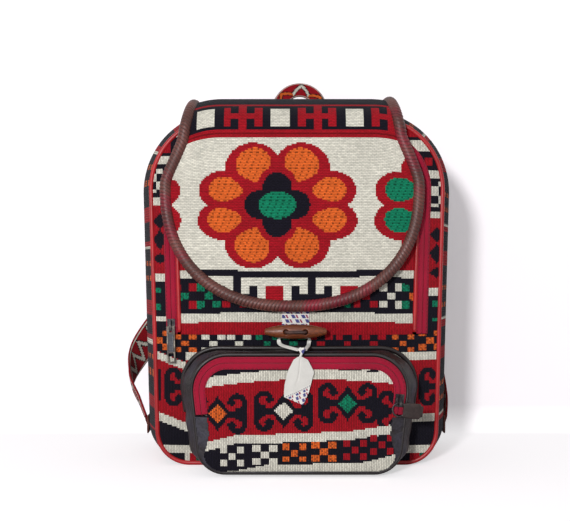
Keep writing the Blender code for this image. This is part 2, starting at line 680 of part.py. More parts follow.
def build_pocket():
    edge_lift = SEAM_GAP + POCKET_PIPING_RADIUS * 2
    lines = [zip(POCKET_BACK.loop(inset), POCKET_FACE.loop(inset)) for inset in (0.0, POCKET_WALL)]
    rims = []
    for outer, inner in zip(*lines):
        ends = [(body_front(back.x, back.y, SEAM_GAP), pocket_front(face.x, face.y, -edge_lift))
                for (back, _), (face, _) in (outer, inner)]
        rims.append((ends[0], ends[1], outer[0][1]))
    sections = wall_sections(rims, POCKET_BULGE, POCKET_TOP_BULGE / POCKET_BULGE, 4)
    add_object("pocket_gusset", loft(sections, closed=True), make_material("pocket_leather", DARK_LEATHER, 0.5))

    path = [pocket_front(p.x, p.y, POCKET_PIPING_RADIUS - CLOTH - 0.0012)
            for p, _ in POCKET_FACE.loop(POCKET_PIPING_INSET)]
    add_object("pocket_piping", tube(path, POCKET_PIPING_RADIUS, 6, closed=True),
               make_material("pocket_piping", DARK_LEATHER, 0.45))
    welt_inset = -(POCKET_WELT_RADIUS + SEAM_GAP * 2)
    path = [body_front(p.x, p.y, POCKET_WELT_RADIUS + SEAM_GAP)
            for p, _ in POCKET_BACK.arch(welt_inset, POCKET_BOTTOM_RADIUS * 2)]
    add_object("pocket_welt", tube(path, POCKET_WELT_RADIUS), make_material("pocket_welt", DARK_LEATHER, 0.45))

    crimson = make_material("pocket_zip_crimson", ZIP_CRIMSON, 0.7)
    bands = (
        ("pocket_zip_outer_tape", POCKET_TAPE_OUTER, ZIP_TAPE_WIDTH, -TAPE, 0.0),
        ("pocket_zip_coil", POCKET_COIL_OUTER, ZIP_COIL_WIDTH, -ZIP_COIL_HEIGHT / 2, ZIP_COIL_HEIGHT / 2),
        ("pocket_zip_inner_tape", POCKET_INNER_TAPE, ZIP_TAPE_WIDTH, -TAPE, 0.0),
    )
    for name, inset, width, low, high in bands:
        add_object(name, strip_along(POCKET_FACE, inset, inset + width, POCKET_ZIP_END, pocket_front, low, high),
                   crimson.copy())

    below = POCKET_ZIP_END - SEAM_GAP
    arch = [p for p, _ in POCKET_FACE.arch(POCKET_PANEL_EDGE, POCKET_ZIP_END)]
    lower = [p for p, _ in POCKET_FACE.loop(POCKET_TAPE_OUTER) if p.y < below - 0.002]
    left = sorted((p for p in lower if p.x < 0 and p.y > POCKET_BOTTOM_RADIUS), key=lambda p: -p.y)
    rest = [p for p in lower if p not in left]
    corner_left = POCKET_FACE.side_point(3, POCKET_TAPE_OUTER, below)
    corner_right = POCKET_FACE.side_point(1, POCKET_TAPE_OUTER, below)
    inside_left = POCKET_FACE.side_point(3, POCKET_PANEL_EDGE, below)
    inside_right = POCKET_FACE.side_point(1, POCKET_PANEL_EDGE, below)
    ring = rest + [corner_right, inside_right] + arch + [inside_left, corner_left] + left
    add_object("pocket_panel",
               plate([(p.x, p.y) for p in ring], (POCKET_CENTRE_X, POCKET_ZIP_END - 0.004), 3,
                     pocket_front, -CLOTH, 0.0),
               make_material("pocket_wool", WOOL_RED, 0.9))


def zip_frame(outline, inset, height, surface, side):
    """Where a slider sits: its middle on the coil, and the directions across, out and up the zip."""
    middle = outline.side_point(side, inset, height)
    above = outline.side_point(side, inset, height + SLIDER_LENGTH / 2)
    below = outline.side_point(side, inset, height - SLIDER_LENGTH / 2)
    lift = ZIP_COIL_HEIGHT / 2
    origin = surface(middle.x, middle.y, lift)
    up = (surface(above.x, above.y, lift) - surface(below.x, below.y, lift)).normalized()
    reach = SLIDER_WIDTH / 2
    slope = surface(middle.x + reach, middle.y, lift) - surface(middle.x - reach, middle.y, lift)
    out = slope.cross(up).normalized()
    across = up.cross(out).normalized()
    return origin, across, out, up


def in_frame(frame, bm):
    """Move a bmesh that is drawn in x across, y out and z up the zip to its place."""
    origin, across, out, up = frame
    matrix = Matrix((across, out, up)).transposed().to_4x4()
    matrix.translation = origin
    bmesh.ops.transform(bm, matrix=matrix, verts=bm.verts)
    return bm


def slider_mesh():
    """A slider in section: a top plate with two lips beside the coil and a bridge for the pull."""
    half = SLIDER_WIDTH / 2
    lip = half - SLIDER_PLATE
    gap = SEAM_GAP
    drop = gap - ZIP_COIL_HEIGHT / 2
    top = gap + SLIDER_PLATE
    profile = [(-half, drop), (-lip, drop), (-lip, gap), (lip, gap), (lip, drop), (half, drop),
               (half, top), (-half, top)]
    length = SLIDER_LENGTH / 2
    return loft([[Vector((x, y, -length)) for x, y in profile],
                 [Vector((x, y, length)) for x, y in profile]], closed=False)


def bridge_mesh():
    """A staple that stands on the slider, joined to it by a union."""
    base = SEAM_GAP + SLIDER_PLATE / 2
    room = base + SLIDER_PLATE / 2 + 2 * (PULL_BAR_RADIUS + PULL_CLEARANCE)
    top = room + BRIDGE_BAR
    reach = SLIDER_LENGTH / 2 - SLIDER_PLATE
    inner = reach - BRIDGE_BAR * 1.5
    half = BRIDGE_WIDTH / 2
    profile = [(-reach, base), (-inner, base), (-inner, room), (inner, room), (inner, base), (reach, base),
               (reach, top), (-reach, top)]
    return loft([[Vector((-half, y, z)) for z, y in profile],
                 [Vector((half, y, z)) for z, y in profile]], closed=False)


def add_slider(name, frame, material):
    slider = add_object(name, in_frame(frame, slider_mesh()), material, frame[0])
    bridge = add_cutter(slider, name + "_bridge", in_frame(frame, bridge_mesh()), frame[0])
    slider.modifiers[bridge.name].operation = "UNION"
    return slider


def pull_axis(frame):
    """The middle of the pull's bar, low in the bridge's window."""
    origin, _, out, up = frame
    height = SEAM_GAP + SLIDER_PLATE + PULL_CLEARANCE + PULL_BAR_RADIUS
    drop = SLIDER_LENGTH / 2 - SLIDER_PLATE - BRIDGE_BAR * 1.5 - PULL_BAR_RADIUS - PULL_CLEARANCE
    return origin + out * height - up * drop


def build_main_pull():
    frame = zip_frame(BODY, COIL_MIDDLE, SLIDER_HEIGHT, body_front, 3)
    metal = make_material("dark_metal", DARK_METAL, 0.35, 1.0)
    add_slider("main_zip_slider", frame, metal)
    axis = pull_axis(frame)
    pivot = (axis, frame[1], frame[2], frame[3])
    half = PULL_WIDTH / 2
    body = block((-half, -PULL_BAR_RADIUS, -PULL_LENGTH), (half, PULL_BAR_RADIUS, PULL_BAR_RADIUS))
    pull = add_object("main_zip_pull", in_frame(pivot, body), metal.copy(), axis)
    eye = SLIDER_PLATE + BRIDGE_BAR * 1.5 + 2 * PULL_CLEARANCE + PULL_BAR_RADIUS
    eye_half = BRIDGE_WIDTH / 2 + PULL_CLEARANCE
    top_hole = block((-eye_half, -0.01, -PULL_BAR_RADIUS - eye), (eye_half, 0.01, -PULL_BAR_RADIUS))
    add_cutter(pull, "pull_eye_hole", in_frame(pivot, top_hole), axis)
    window = block((-half + PULL_RIM, -0.01, -PULL_LENGTH + PULL_RIM),
                   (half - PULL_RIM, 0.01, -PULL_LENGTH + PULL_RIM + PULL_WINDOW))
    add_cutter(pull, "pull_window", in_frame(pivot, window), axis)
    return frame


def build_pocket_pull():
    frame = zip_frame(POCKET_FACE, POCKET_COIL_MIDDLE, POCKET_SLIDER_HEIGHT, pocket_front, 1)
    metal = make_material("ring_metal", DARK_METAL, 0.35, 1.0)
    add_slider("pocket_zip_slider", frame, metal)
    axis = pull_axis(frame)
    pivot = (axis, frame[1], frame[2], frame[3])
    path = [Vector((RING_RADIUS * math.sin(a), 0.0, -RING_RADIUS + RING_RADIUS * math.cos(a)))
            for a in (2 * math.pi * k / 16 for k in range(16))]
    ring = in_frame(pivot, tube(path, RING_WIRE, 6, closed=True))
    add_object("pocket_pull_ring", ring, metal.copy(), axis)

    wire = RING_WIRE + SEAM_GAP
    centre = Vector((RING_RADIUS, 0.0, -RING_RADIUS))
    loop_out = wire + TAB_THICKNESS / 2
    half = TAB_WIDTH / 2
    profile = [(-loop_out, 0.0), (-loop_out * 0.7, loop_out * 0.7), (0.0, loop_out),
               (loop_out, loop_out), (TAB_LENGTH, TAB_THICKNESS / 2 + 0.0002),
               (TAB_LENGTH, -TAB_THICKNESS / 2), (loop_out, -loop_out), (0.0, -loop_out),
               (-loop_out * 0.7, -loop_out * 0.7)]
    reach = math.sqrt(RING_RADIUS ** 2 - (RING_RADIUS * 0.5) ** 2)
    bm = loft([[centre + Vector((x, y, -half)) for x, y in profile],
               [centre + Vector((x, y, half)) for x, y in profile]], closed=False)
    tab = add_object("pocket_pull_tab", in_frame(pivot, bm),
                     make_material("tab_leather", BROWN_LEATHER, 0.5), axis)
    tunnel = [Vector((RING_RADIUS * math.sin(a), 0.0, -RING_RADIUS + RING_RADIUS * math.cos(a)))
              for a in (2 * math.pi * k / 16 for k in range(16))]
    add_cutter(tab, "tab_tunnel", in_frame(pivot, tube(tunnel, wire, 8, closed=True)), axis)
    inside = block((RING_RADIUS - loop_out * 2, -0.01, -RING_RADIUS - reach),
                   (RING_RADIUS - wire, 0.01, -RING_RADIUS + reach))
    add_cutter(tab, "tab_ring_room", in_frame(pivot, inside), axis)
    return frame


def toggle_middle():
    lift = RIBBON_THICKNESS + SEAM_GAP + TOGGLE_CLEARANCE + TOGGLE_RADIUS
    return body_front(TOGGLE_CENTRE_X, TOGGLE_HEIGHT, lift)


def build_closure():
    middle = toggle_middle()
    half = TOGGLE_LENGTH / 2
    slope = TOGGLE_RADIUS - TOGGLE_END_RADIUS
    shares = [-1.0, -0.97, -0.85, -0.6, -0.3, 0.0, 0.3, 0.6, 0.85, 0.97, 1.0]
    path = [middle + Vector((half * s, 0.0, 0.0)) for s in shares]
    radii = [TOGGLE_END_RADIUS + slope * (1 - abs(s) ** 2.2) for s in shares]
    radii[0] = radii[-1] = TOGGLE_END_RADIUS * 0.6
    toggle = add_object("toggle", tube(path, radii, 12), make_material("toggle_wood", TOGGLE_WOOD, 0.4), middle)
    legs = [TOGGLE_HOLE_SPACING / 2 * s for s in (-1, 1)]
    for side, x in zip(("left", "right"), legs):
        hole = tube([middle + Vector((x, -0.02, 0.0)), middle + Vector((x, 0.02, 0.0))], TOGGLE_HOLE_RADIUS, 10)
        add_cutter(toggle, "toggle_hole_" + side, hole, middle)

    front = -(TOGGLE_RADIUS + LACE_RADIUS + SEAM_GAP)
    back = TOGGLE_RADIUS + TOGGLE_CLEARANCE - LACE_END_ROOM
    corner = LACE_RADIUS * 1.5
    span = TOGGLE_HOLE_SPACING / 2
    lace = [(-span, back), (-span, front + corner), (-span + corner * 0.3, front + corner * 0.3),
            (-span + corner, front), (span - corner, front), (span - corner * 0.3, front + corner * 0.3),
            (span, front + corner), (span, back)]
    path = [middle + Vector((x, y, 0.0)) for x, y in lace]
    add_object("toggle_lace", tube(path, LACE_RADIUS, 8),
               make_material("lace_leather", DARK_LEATHER, 0.5), middle)

    low = SEAM_GAP
    high = low + RIBBON_THICKNESS
    edge_left = TOGGLE_CENTRE_X - RIBBON_WIDTH / 2
    rows = 6
    outer = []
    inner = []
    for j in range(rows + 1):
        z = RIBBON_BOTTOM + (RIBBON_TOP - RIBBON_BOTTOM) * j / rows
        xs = [edge_left, edge_left + RIBBON_WIDTH]
        outer.append([body_front(x, z, high) for x in xs])
        inner.append([body_front(x, z, low) for x in xs])
    add_object("ribbon_loop", two_sided_grid(outer, inner), make_material("ribbon", WHITE_COTTON, 0.7))

    over_pocket = POCKET_HEIGHT + POCKET_FACE_RISE + POCKET_TOP_BULGE + 2 * STRING_RADIUS
    knot = Vector((TOGGLE_CENTRE_X + 0.0055, -(POCKET_FRONT_Y + KNOT_RADIUS + POCKET_PIPING_RADIUS), over_pocket))
    string_lift = high + SEAM_GAP + STRING_RADIUS
    cross = RIBBON_BOTTOM - STRING_RADIUS
    knot_edge = KNOT_RADIUS + STRING_RADIUS + SEAM_GAP
    behind_left = body_front(TOGGLE_CENTRE_X - 0.014, cross, string_lift)
    behind_right = body_front(TOGGLE_CENTRE_X + 0.012, cross, string_lift)
    over_welt = POCKET_HEIGHT + 2 * POCKET_WELT_RADIUS + STRING_RADIUS + 4 * SEAM_GAP
    under_left = body_front(TOGGLE_CENTRE_X - 0.015, over_welt, string_lift + 0.002)
    under_right = body_front(TOGGLE_CENTRE_X + 0.013, over_welt, string_lift + 0.002)
    middle_behind = body_front(TOGGLE_CENTRE_X, cross + 0.001, string_lift)
    path = [knot + Vector((-knot_edge * 0.7, knot_edge * 0.7, 0.0)), under_left, behind_left, middle_behind,
            behind_right, under_right, knot + Vector((knot_edge * 0.7, knot_edge * 0.7, 0.0))]
    string = make_material("string", WHITE_COTTON, 0.8)
    add_object("tag_string", tube(path, STRING_RADIUS), string)
    bm = bmesh.new()
    bmesh.ops.create_icosphere(bm, subdivisions=2, radius=KNOT_RADIUS)
    bmesh.ops.translate(bm, vec=knot, verts=bm.verts)
    add_object("string_knot", bm, string.copy())

    label_x = TOGGLE_CENTRE_X + 0.003
    label_top = POCKET_HEIGHT - 0.002
    label_back = -pocket_front(label_x, POCKET_HEIGHT / 2, SEAM_GAP * 2).y
    add_object("hang_tag",
               block((label_x - LABEL_WIDTH / 2, -label_back - LABEL_THICKNESS, label_top - LABEL_LENGTH),
                     (label_x + LABEL_WIDTH / 2, -label_back, label_top)),
               make_material("label_cotton", WHITE_COTTON, 0.85))
    label_middle_y = -label_back - LABEL_THICKNESS / 2
    tie_top = knot - Vector((0.0, 0.0, KNOT_RADIUS + STRING_RADIUS))
    tie_end = Vector((label_x, label_middle_y, label_top + SEAM_GAP))
    tie = [tie_top, tie_end + Vector((0.0, 0.0, STRING_RADIUS)), tie_end]
    add_object("tag_tie", tube(tie, STRING_RADIUS), string.copy())


def band_sections(path, faces, width, thickness):
    """Flat sections of a band. Each face direction is the way the band's outer side looks."""
    sections = []
    for i, point in enumerate(path):
        before = path[max(0, i - 1)]
        after = path[min(len(path) - 1, i + 1)]
        along = (after - before).normalized()
        out = (faces[i] - along * faces[i].dot(along)).normalized()
        side = along.cross(out)
        w = side * width / 2
        t = out * thickness / 2
        sections.append([point - w - t, point + w - t, point + w + t, point - w + t])
    return sections


def smooth_route(points, steps):
    """A smooth line through points, straight wherever four of them lie evenly on one line."""
    route = []
    padded = [2 * points[0] - points[1]] + points + [2 * points[-1] - points[-2]]
    for i in range(1, len(padded) - 2):
        a, b, c, d = padded[i - 1:i + 3]
        for k in range(steps):
            t = k / steps
            route.append(0.5 * (2 * b + (c - a) * t + (2 * a - 5 * b + 4 * c - d) * t ** 2
                                + (3 * b - a - 3 * c + d) * t ** 3))
    route.append(points[-1])
    return route


def strap_line(side):
    """Points and outward faces of a shoulder strap, from its top seam to its lower tab."""
    seat = STRAP_THICKNESS / 2 + SEAM_GAP
    top_lift = CLOTH / 2 + seat
    low_y = 0.006
    low_z = BODY_BOTTOM_RADIUS * 0.9
    half = BODY.side_point(1, 0.0, low_z + TAB_END_HEIGHT / 2).x + GUSSET_BULGE
    step = Vector((STRAP_SPREAD, STRAP_REACH, -STRAP_FALL))
    start = Vector((STRAP_TOP_X + STRAP_SPREAD / 2, BODY_HALF_DEPTH + STRAP_START_BACK,
                    STRAP_TOP_Z - STRAP_START_DOWN))
    bends = list(zip(STRAP_BEND_OUT["left" if side < 0 else "right"], STRAP_BEND_HEIGHTS))
    right = [
        body_back(STRAP_TOP_X - 0.003, STRAP_TOP_Z + PATCH_HEIGHT / 2, top_lift),
        body_back(STRAP_TOP_X - 0.002, STRAP_TOP_Z, top_lift),
        body_back(STRAP_TOP_X, STRAP_TOP_Z - PATCH_HEIGHT, top_lift + STRAP_THICKNESS / 2),
        start, start + step, start + 2 * step, start + 3 * step,
        Vector((half + bends[0][0], BODY_HALF_DEPTH * 1.09, bends[0][1])),
        Vector((half + bends[1][0], BODY_HALF_DEPTH * 0.62, bends[1][1])),
        Vector((half + bends[2][0], BODY_HALF_DEPTH * 0.30, bends[2][1])),
        Vector((half + seat + TAB_END_THICKNESS + SEAM_GAP, low_y, low_z)),
    ]
    back = Vector((0.0, 1.0, 0.0))
    turned = Vector((0.7, 0.7, 0.0))
    out = Vector((1.0, 0.0, 0.0))
    faces = [back, back, back, back, back, back, back, turned, out, out, out]
    mirror = Vector((side, 1.0, 1.0))
    return [p * mirror for p in right], [f * mirror for f in faces]


def build_straps():
    wool = make_material("strap_wool", WOOL_RED, 0.9)
    steps = 4
    for name, side in (("left", -1), ("right", 1)):
        points, faces = strap_line(side)
        route = smooth_route(points, steps)
        face_route = []
        for i in range(len(faces) - 1):
            face_route += [faces[i].lerp(faces[i + 1], k / steps).normalized() for k in range(steps)]
        face_route.append(faces[-1])
        add_object(name + "_shoulder_strap",
                   loft(band_sections(route, face_route, STRAP_WIDTH, STRAP_THICKNESS), closed=False),
                   wool.copy())

        middle = (points[4] + points[5]) / 2
        along = (points[5] - points[4]).normalized()
        out = (faces[4] - along * faces[4].dot(along)).normalized()
        reach = along * ADJUSTER_LENGTH / 2
        room_w = STRAP_WIDTH + 2 * ADJUSTER_CLEARANCE
        room_t = STRAP_THICKNESS + 2 * ADJUSTER_CLEARANCE
        ring_w = room_w + 2 * ADJUSTER_WALL
        ring_t = room_t + 2 * ADJUSTER_WALL
        outer = band_sections([middle - reach, middle + reach], [out, out], ring_w, ring_t)
        adjuster = add_object(name + "_strap_adjuster", loft(outer, closed=False),
                              make_material("adjuster_metal", DARK_METAL, 0.35, 1.0), middle)
        hole = band_sections([middle - 2 * reach, middle + 2 * reach], [out, out], room_w, room_t)
        add_cutter(adjuster, name + "_adjuster_room", loft(hole, closed=False), middle)

        low = points[-1]
        gusset_side = low - Vector((side * (STRAP_THICKNESS / 2 + SEAM_GAP), 0.0, 0.0))
        inner = gusset_side - Vector((side * TAB_END_THICKNESS, 0.0, 0.0))
        tab_half = STRAP_WIDTH / 2
        add_object(name + "_strap_tab",
                   block((min(gusset_side.x, inner.x), low.y - tab_half, low.z - TAB_END_HEIGHT / 2),
                         (max(gusset_side.x, inner.x), low.y + tab_half, low.z + TAB_END_HEIGHT / 2)),
                   make_material("tab_end_leather", DARK_LEATHER, 0.5))

    lift_low = CLOTH / 2 + STRAP_THICKNESS + 4 * SEAM_GAP
    lift_high = lift_low + PATCH_THICKNESS
    columns = 10
    outer = []
    inner = []
    for j in range(3):
        z = STRAP_TOP_Z + PATCH_HEIGHT * (j / 2 - 0.5)
        xs = [PATCH_WIDTH * (i / columns - 0.5) for i in range(columns + 1)]
        outer.append([body_back(x, z, lift_high) for x in xs])
        inner.append([body_back(x, z, lift_low) for x in xs])
    add_object("strap_patch", two_sided_grid(outer, inner), make_material("patch_leather", BROWN_LEATHER, 0.5))


def build_handle():
    lift = CLOTH / 2 + SEAM_GAP + HANDLE_THICKNESS / 2
    y = body_back(HANDLE_CENTRE_X + HANDLE_HALF_SPAN, HANDLE_FOOT + HANDLE_SEWN / 2, lift).y
    top = HANDLE_TOP - HANDLE_BAND / 2
    crown_z = top - HANDLE_HALF_SPAN
    path = [Vector((HANDLE_CENTRE_X - HANDLE_HALF_SPAN, y, z))
            for z in (HANDLE_FOOT, HANDLE_FOOT + HANDLE_LEG)]
    for k in range(9):
        angle = math.pi * (1 - k / 8)
        path.append(Vector((HANDLE_CENTRE_X + HANDLE_HALF_SPAN * math.cos(angle), y,
                            crown_z + HANDLE_HALF_SPAN * math.sin(angle))))
    path += [Vector((HANDLE_CENTRE_X + HANDLE_HALF_SPAN, y, z))
             for z in (HANDLE_FOOT + HANDLE_LEG, HANDLE_FOOT)]
    sections = []
    for i, point in enumerate(path):
        before = path[max(0, i - 1)]
        after = path[min(len(path) - 1, i + 1)]
        along = (after - before).normalized()
        side = Vector((0.0, 1.0, 0.0)).cross(along)
        ring = []
        for k in range(8):
            a = 2 * math.pi * (k + 0.5) / 8
            ring.append(point + side * (HANDLE_BAND / 2 * math.cos(a))
                        + Vector((0.0, HANDLE_THICKNESS / 2 * math.sin(a), 0.0)))
        sections.append(ring)
    add_object("top_handle", loft(sections, closed=False), make_material("handle_wool", WOOL_RED, 0.9))


clear_scene()
CUTTER_MATERIAL = make_material("guide", (0.5, 0.5, 0.5), 0.5)
build_body()
build_door()
build_flap()
build_pocket()
build_main_pull()
build_pocket_pull()
build_closure()
build_straps()
build_handle()
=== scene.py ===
# %% [markdown]
# # A woven wool backpack
#
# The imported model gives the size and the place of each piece. This script keeps the hard pieces
# and gives them metal and wood, and makes the cloth, leather and zips again in finer detail.
# Lengths are in metres.

# %% Load the frame
import math
import bpy
import numpy as np
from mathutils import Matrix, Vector


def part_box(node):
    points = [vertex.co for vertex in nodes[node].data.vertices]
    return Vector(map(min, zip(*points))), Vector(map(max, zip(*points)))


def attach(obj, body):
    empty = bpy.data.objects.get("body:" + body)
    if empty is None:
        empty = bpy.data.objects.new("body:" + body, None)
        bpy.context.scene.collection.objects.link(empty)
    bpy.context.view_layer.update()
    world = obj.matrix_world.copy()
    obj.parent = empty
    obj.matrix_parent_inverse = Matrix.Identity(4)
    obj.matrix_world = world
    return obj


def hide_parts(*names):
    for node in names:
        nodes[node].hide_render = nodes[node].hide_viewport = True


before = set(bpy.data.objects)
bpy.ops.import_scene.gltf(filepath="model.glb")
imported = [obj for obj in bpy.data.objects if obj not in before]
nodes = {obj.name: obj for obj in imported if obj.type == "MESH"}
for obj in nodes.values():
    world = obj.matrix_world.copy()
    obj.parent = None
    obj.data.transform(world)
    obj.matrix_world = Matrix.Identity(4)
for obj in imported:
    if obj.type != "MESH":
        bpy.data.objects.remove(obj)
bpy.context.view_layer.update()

chance = np.random.default_rng(11)

# %% [markdown]
# ## Camera, floor and light
#
# The photograph looks level at the front from about a metre away. The background is white and the
# bag throws a soft mauve shadow down and to the right, so the one strong light stands at the upper
# left. The floor is pale and the world is white for the camera.

# %% Camera
camera_spot = (-0.012, -0.975, 0.207)
camera = bpy.data.objects.new("camera", bpy.data.cameras.new("camera"))
bpy.context.scene.collection.objects.link(camera)
camera.location = camera_spot
camera.rotation_euler = (math.radians(90), 0.0, 0.0)
camera.data.sensor_width = 36.0
camera.data.lens = 56.8
bpy.context.scene.camera = camera
print("camera at", camera_spot)


# %% [markdown]
# The yarns come in few dyes: red, cream, nearly black, orange and two greens. Blender's materials take
# linear colours, which are hard to think in. So the dyes are written as they look on a screen, from 0
# to 255, and one helper turns them into linear colours.

# %% Colours
def srgb(red, green, blue):
    """A colour of 0 to 255 as the linear colour that the materials take."""
    share = np.array([red, green, blue]) / 255.0
    low = share / 12.92
    high = ((share + 0.055) / 1.055) ** 2.4
    return np.where(share <= 0.04045, low, high)


RED = srgb(150, 18, 30)
CREAM = srgb(206, 203, 190)
NAVY = srgb(19, 17, 27)
ORANGE = srgb(208, 94, 38)
GREEN = srgb(16, 118, 86)
DEEP_GREEN = srgb(16, 80, 62)
WHITE = srgb(222, 220, 214)
CRIMSON = srgb(166, 13, 50)


# %% [markdown]
# ## Materials
#
# A few small helpers draw node graphs. Wool takes its colour from the stitch that it lies on, and
# its relief from the yarn: upright ribs crossed by stitches that are offset from rib to rib.

# %% Node helper
class Graph:
    """One material's node tree, with short ways to add and join nodes."""

    def __init__(self, name, **finish):
        self.material = bpy.data.materials.new(name)
        self.material.use_nodes = True
        self.tree = self.material.node_tree
        self.shader = self.tree.nodes["Principled BSDF"]
        for socket, value in finish.items():
            self.shader.inputs[socket.replace("_", " ")].default_value = value

    def node(self, kind, inputs=(), **settings):
        made = self.tree.nodes.new(kind)
        for key, value in settings.items():
            setattr(made, key, value)
        for key, value in dict(inputs).items():
            self.feed(value, made.inputs[key])
        return made

    def feed(self, value, socket):
        if isinstance(value, bpy.types.NodeSocket):
            self.tree.links.new(value, socket)
        else:
            socket.default_value = value

    def math(self, operation, first, second=0.0):
        return self.node("ShaderNodeMath", {0: first, 1: second}, operation=operation).outputs[0]

    def mix(self, share, first, second, blend="MIX"):
        made = self.node("ShaderNodeMix", data_type="RGBA", blend_type=blend)
        self.feed(share, made.inputs[0])
        self.feed(first, made.inputs[6])
        self.feed(second, made.inputs[7])
        return made.outputs[2]

    def range(self, value, low, high, new_low, new_high):
        inputs = {0: value, 1: low, 2: high, 3: new_low, 4: new_high}
        return self.node("ShaderNodeMapRange", inputs).outputs[0]

    def noise(self, where, scale, detail=2.0):
        inputs = {"Vector": where, "Scale": scale, "Detail": detail}
        return self.node("ShaderNodeTexNoise", inputs).outputs["Fac"]

    def place(self):
        return self.node("ShaderNodeTexCoord").outputs["Object"]

    def cloth(self):
        return self.node("ShaderNodeUVMap", uv_map="Cloth").outputs[0]

    def thread(self):
        return self.node("ShaderNodeAttribute", attribute_name="Thread").outputs["Color"]

    def effect(self, tree, **values):
        made = self.tree.nodes.new("ShaderNodeGroup")
        made.node_tree = tree
        for socket, value in values.items():
            self.feed(value, made.inputs[socket])
        return list(made.outputs)

    def shaded(self, colour, shade):
        """A colour times a shade."""
        return self.node("ShaderNodeVectorMath", {0: colour, 3: shade}, operation="SCALE").outputs[0]

    def bump(self, height, distance, strength=1.0, over=None):
        inputs = {"Height": height, "Distance": distance, "Strength": strength}
        if over is not None:
            inputs["Normal"] = over
        return self.node("ShaderNodeBump", inputs).outputs[0]

    def use(self, **links):
        for socket, value in links.items():
            self.feed(value, self.shader.inputs[socket.replace("_", " ")])
        return self.material


# %% [markdown]
# The relief of woven yarn, uneven dye, the grain of leather and fine scratches return in several
# finishes. Each material could draw them again. A node group draws an effect once, with named inputs,
# and every material that holds the group gives it its own values.

# %% Shared effects
class Effect(Graph):
    """A node group: an effect that is drawn once and placed in each material with its own values."""

    def __init__(self, name, **sockets):
        self.tree = bpy.data.node_groups.new(name, "ShaderNodeTree")
        for socket, kind in sockets.items():
            self.tree.interface.new_socket(socket, in_out="INPUT", socket_type="NodeSocket" + kind)
        self.given = self.tree.nodes.new("NodeGroupInput").outputs

    def give(self, **results):
        for socket in results:
            self.tree.interface.new_socket(socket, in_out="OUTPUT", socket_type="NodeSocketFloat")
        ends = self.tree.nodes.new("NodeGroupOutput").inputs
        for socket, value in results.items():
            self.feed(value, ends[socket])
        return self.tree


def weave_effect():
    """Upright ribs crossed by stitches. The cloth's own coordinates count stitches: x across, y along."""
    g = Effect("weave", Cloth="Vector", Tall="Float")
    across, along, _ = g.node("ShaderNodeSeparateXYZ", {0: g.given["Cloth"]}).outputs
    rib = g.math("FLOOR", across)
    rise = g.math("SINE", g.math("MULTIPLY", g.math("FRACT", across), math.pi))
    shift = g.math("MULTIPLY", g.math("MODULO", rib, 2.0), 0.5)
    up = g.math("ADD", g.math("DIVIDE", along, g.given["Tall"]), shift)
    pick = g.math("SINE", g.math("MULTIPLY", g.math("FRACT", up), math.pi))
    stitch = g.range(g.math("POWER", pick, 0.5), 0, 1, 0.45, 1.0)
    relief = g.math("MULTIPLY", g.math("POWER", rise, 0.7), stitch)
    cell = g.node("ShaderNodeCombineXYZ", {0: rib, 1: g.math("FLOOR", up)}).outputs[0]
    tone = g.node("ShaderNodeTexWhiteNoise", {"Vector": cell}, noise_dimensions="2D").outputs[0]
    return g.give(Relief=relief, Tone=tone)


def unevenness_effect():
    """Lighter and darker clouds and fine specks, as on anything handled, dyed or dusty."""
    g = Effect("unevenness", Wide="Float", Fine="Float", Depth="Float")
    cloud = g.noise(g.place(), g.given["Wide"], 3.0)
    speck = g.noise(g.place(), g.given["Fine"], 3.0)
    both = g.math("ADD", g.range(cloud, 0.3, 0.7, -0.5, 0.5), g.range(speck, 0.3, 0.7, -0.5, 0.5))
    shade = g.math("ADD", g.math("MULTIPLY", both, g.given["Depth"]), 1.0)
    return g.give(Shade=shade, Cloud=cloud, Speck=speck)


def fine_weave_effect():
    """Threads over and under one another in a plain cloth. Threads is how fast the weave repeats."""
    g = Effect("fine weave", Threads="Float")
    x, y, z = g.node("ShaderNodeSeparateXYZ", {0: g.place()}).outputs
    warp = g.math("SINE", g.math("MULTIPLY", g.math("ADD", x, y), g.given["Threads"]))
    weft = g.math("SINE", g.math("MULTIPLY", z, g.given["Threads"]))
    return g.give(Relief=g.range(g.math("MULTIPLY", warp, weft), -1, 1, 0, 1))


def hide_effect():
    """A pebbled grain, folds that run through it, and the high spots where it is worn."""
    g = Effect("hide", Grain="Float")
    pebble = g.node("ShaderNodeTexVoronoi", {"Vector": g.place(), "Scale": g.given["Grain"]},
                    feature="SMOOTH_F1").outputs["Distance"]
    crease = g.node("ShaderNodeTexNoise", {"Vector": g.place(), "Scale": 60.0, "Detail": 5.0,
                                           "Distortion": 1.2}).outputs["Fac"]
    wide = g.noise(g.place(), 28.0, 4.0)
    wear = g.range(g.math("ADD", wide, g.math("MULTIPLY", crease, 0.5)), 0.68, 0.92, 0, 1)
    return g.give(Pebble=pebble, Crease=crease, Wide=wide, Wear=wear)


def scratches_effect():
    """Fine scratches that run up and down. Squeeze says how much they are drawn out."""
    g = Effect("scratches", Fine="Float", Squeeze="Float")
    x, y, z = g.node("ShaderNodeSeparateXYZ", {0: g.place()}).outputs
    tall = g.math("MULTIPLY", z, g.given["Squeeze"])
    squeezed = g.node("ShaderNodeCombineXYZ", {0: x, 1: y, 2: tall}).outputs[0]
    return g.give(Scratch=g.noise(squeezed, g.given["Fine"], 2.0))


weave = weave_effect()
unevenness = unevenness_effect()
fine_weave = fine_weave_effect()
hide = hide_effect()
scratches = scratches_effect()
print("shared effects:", [group.name for group in bpy.data.node_groups])
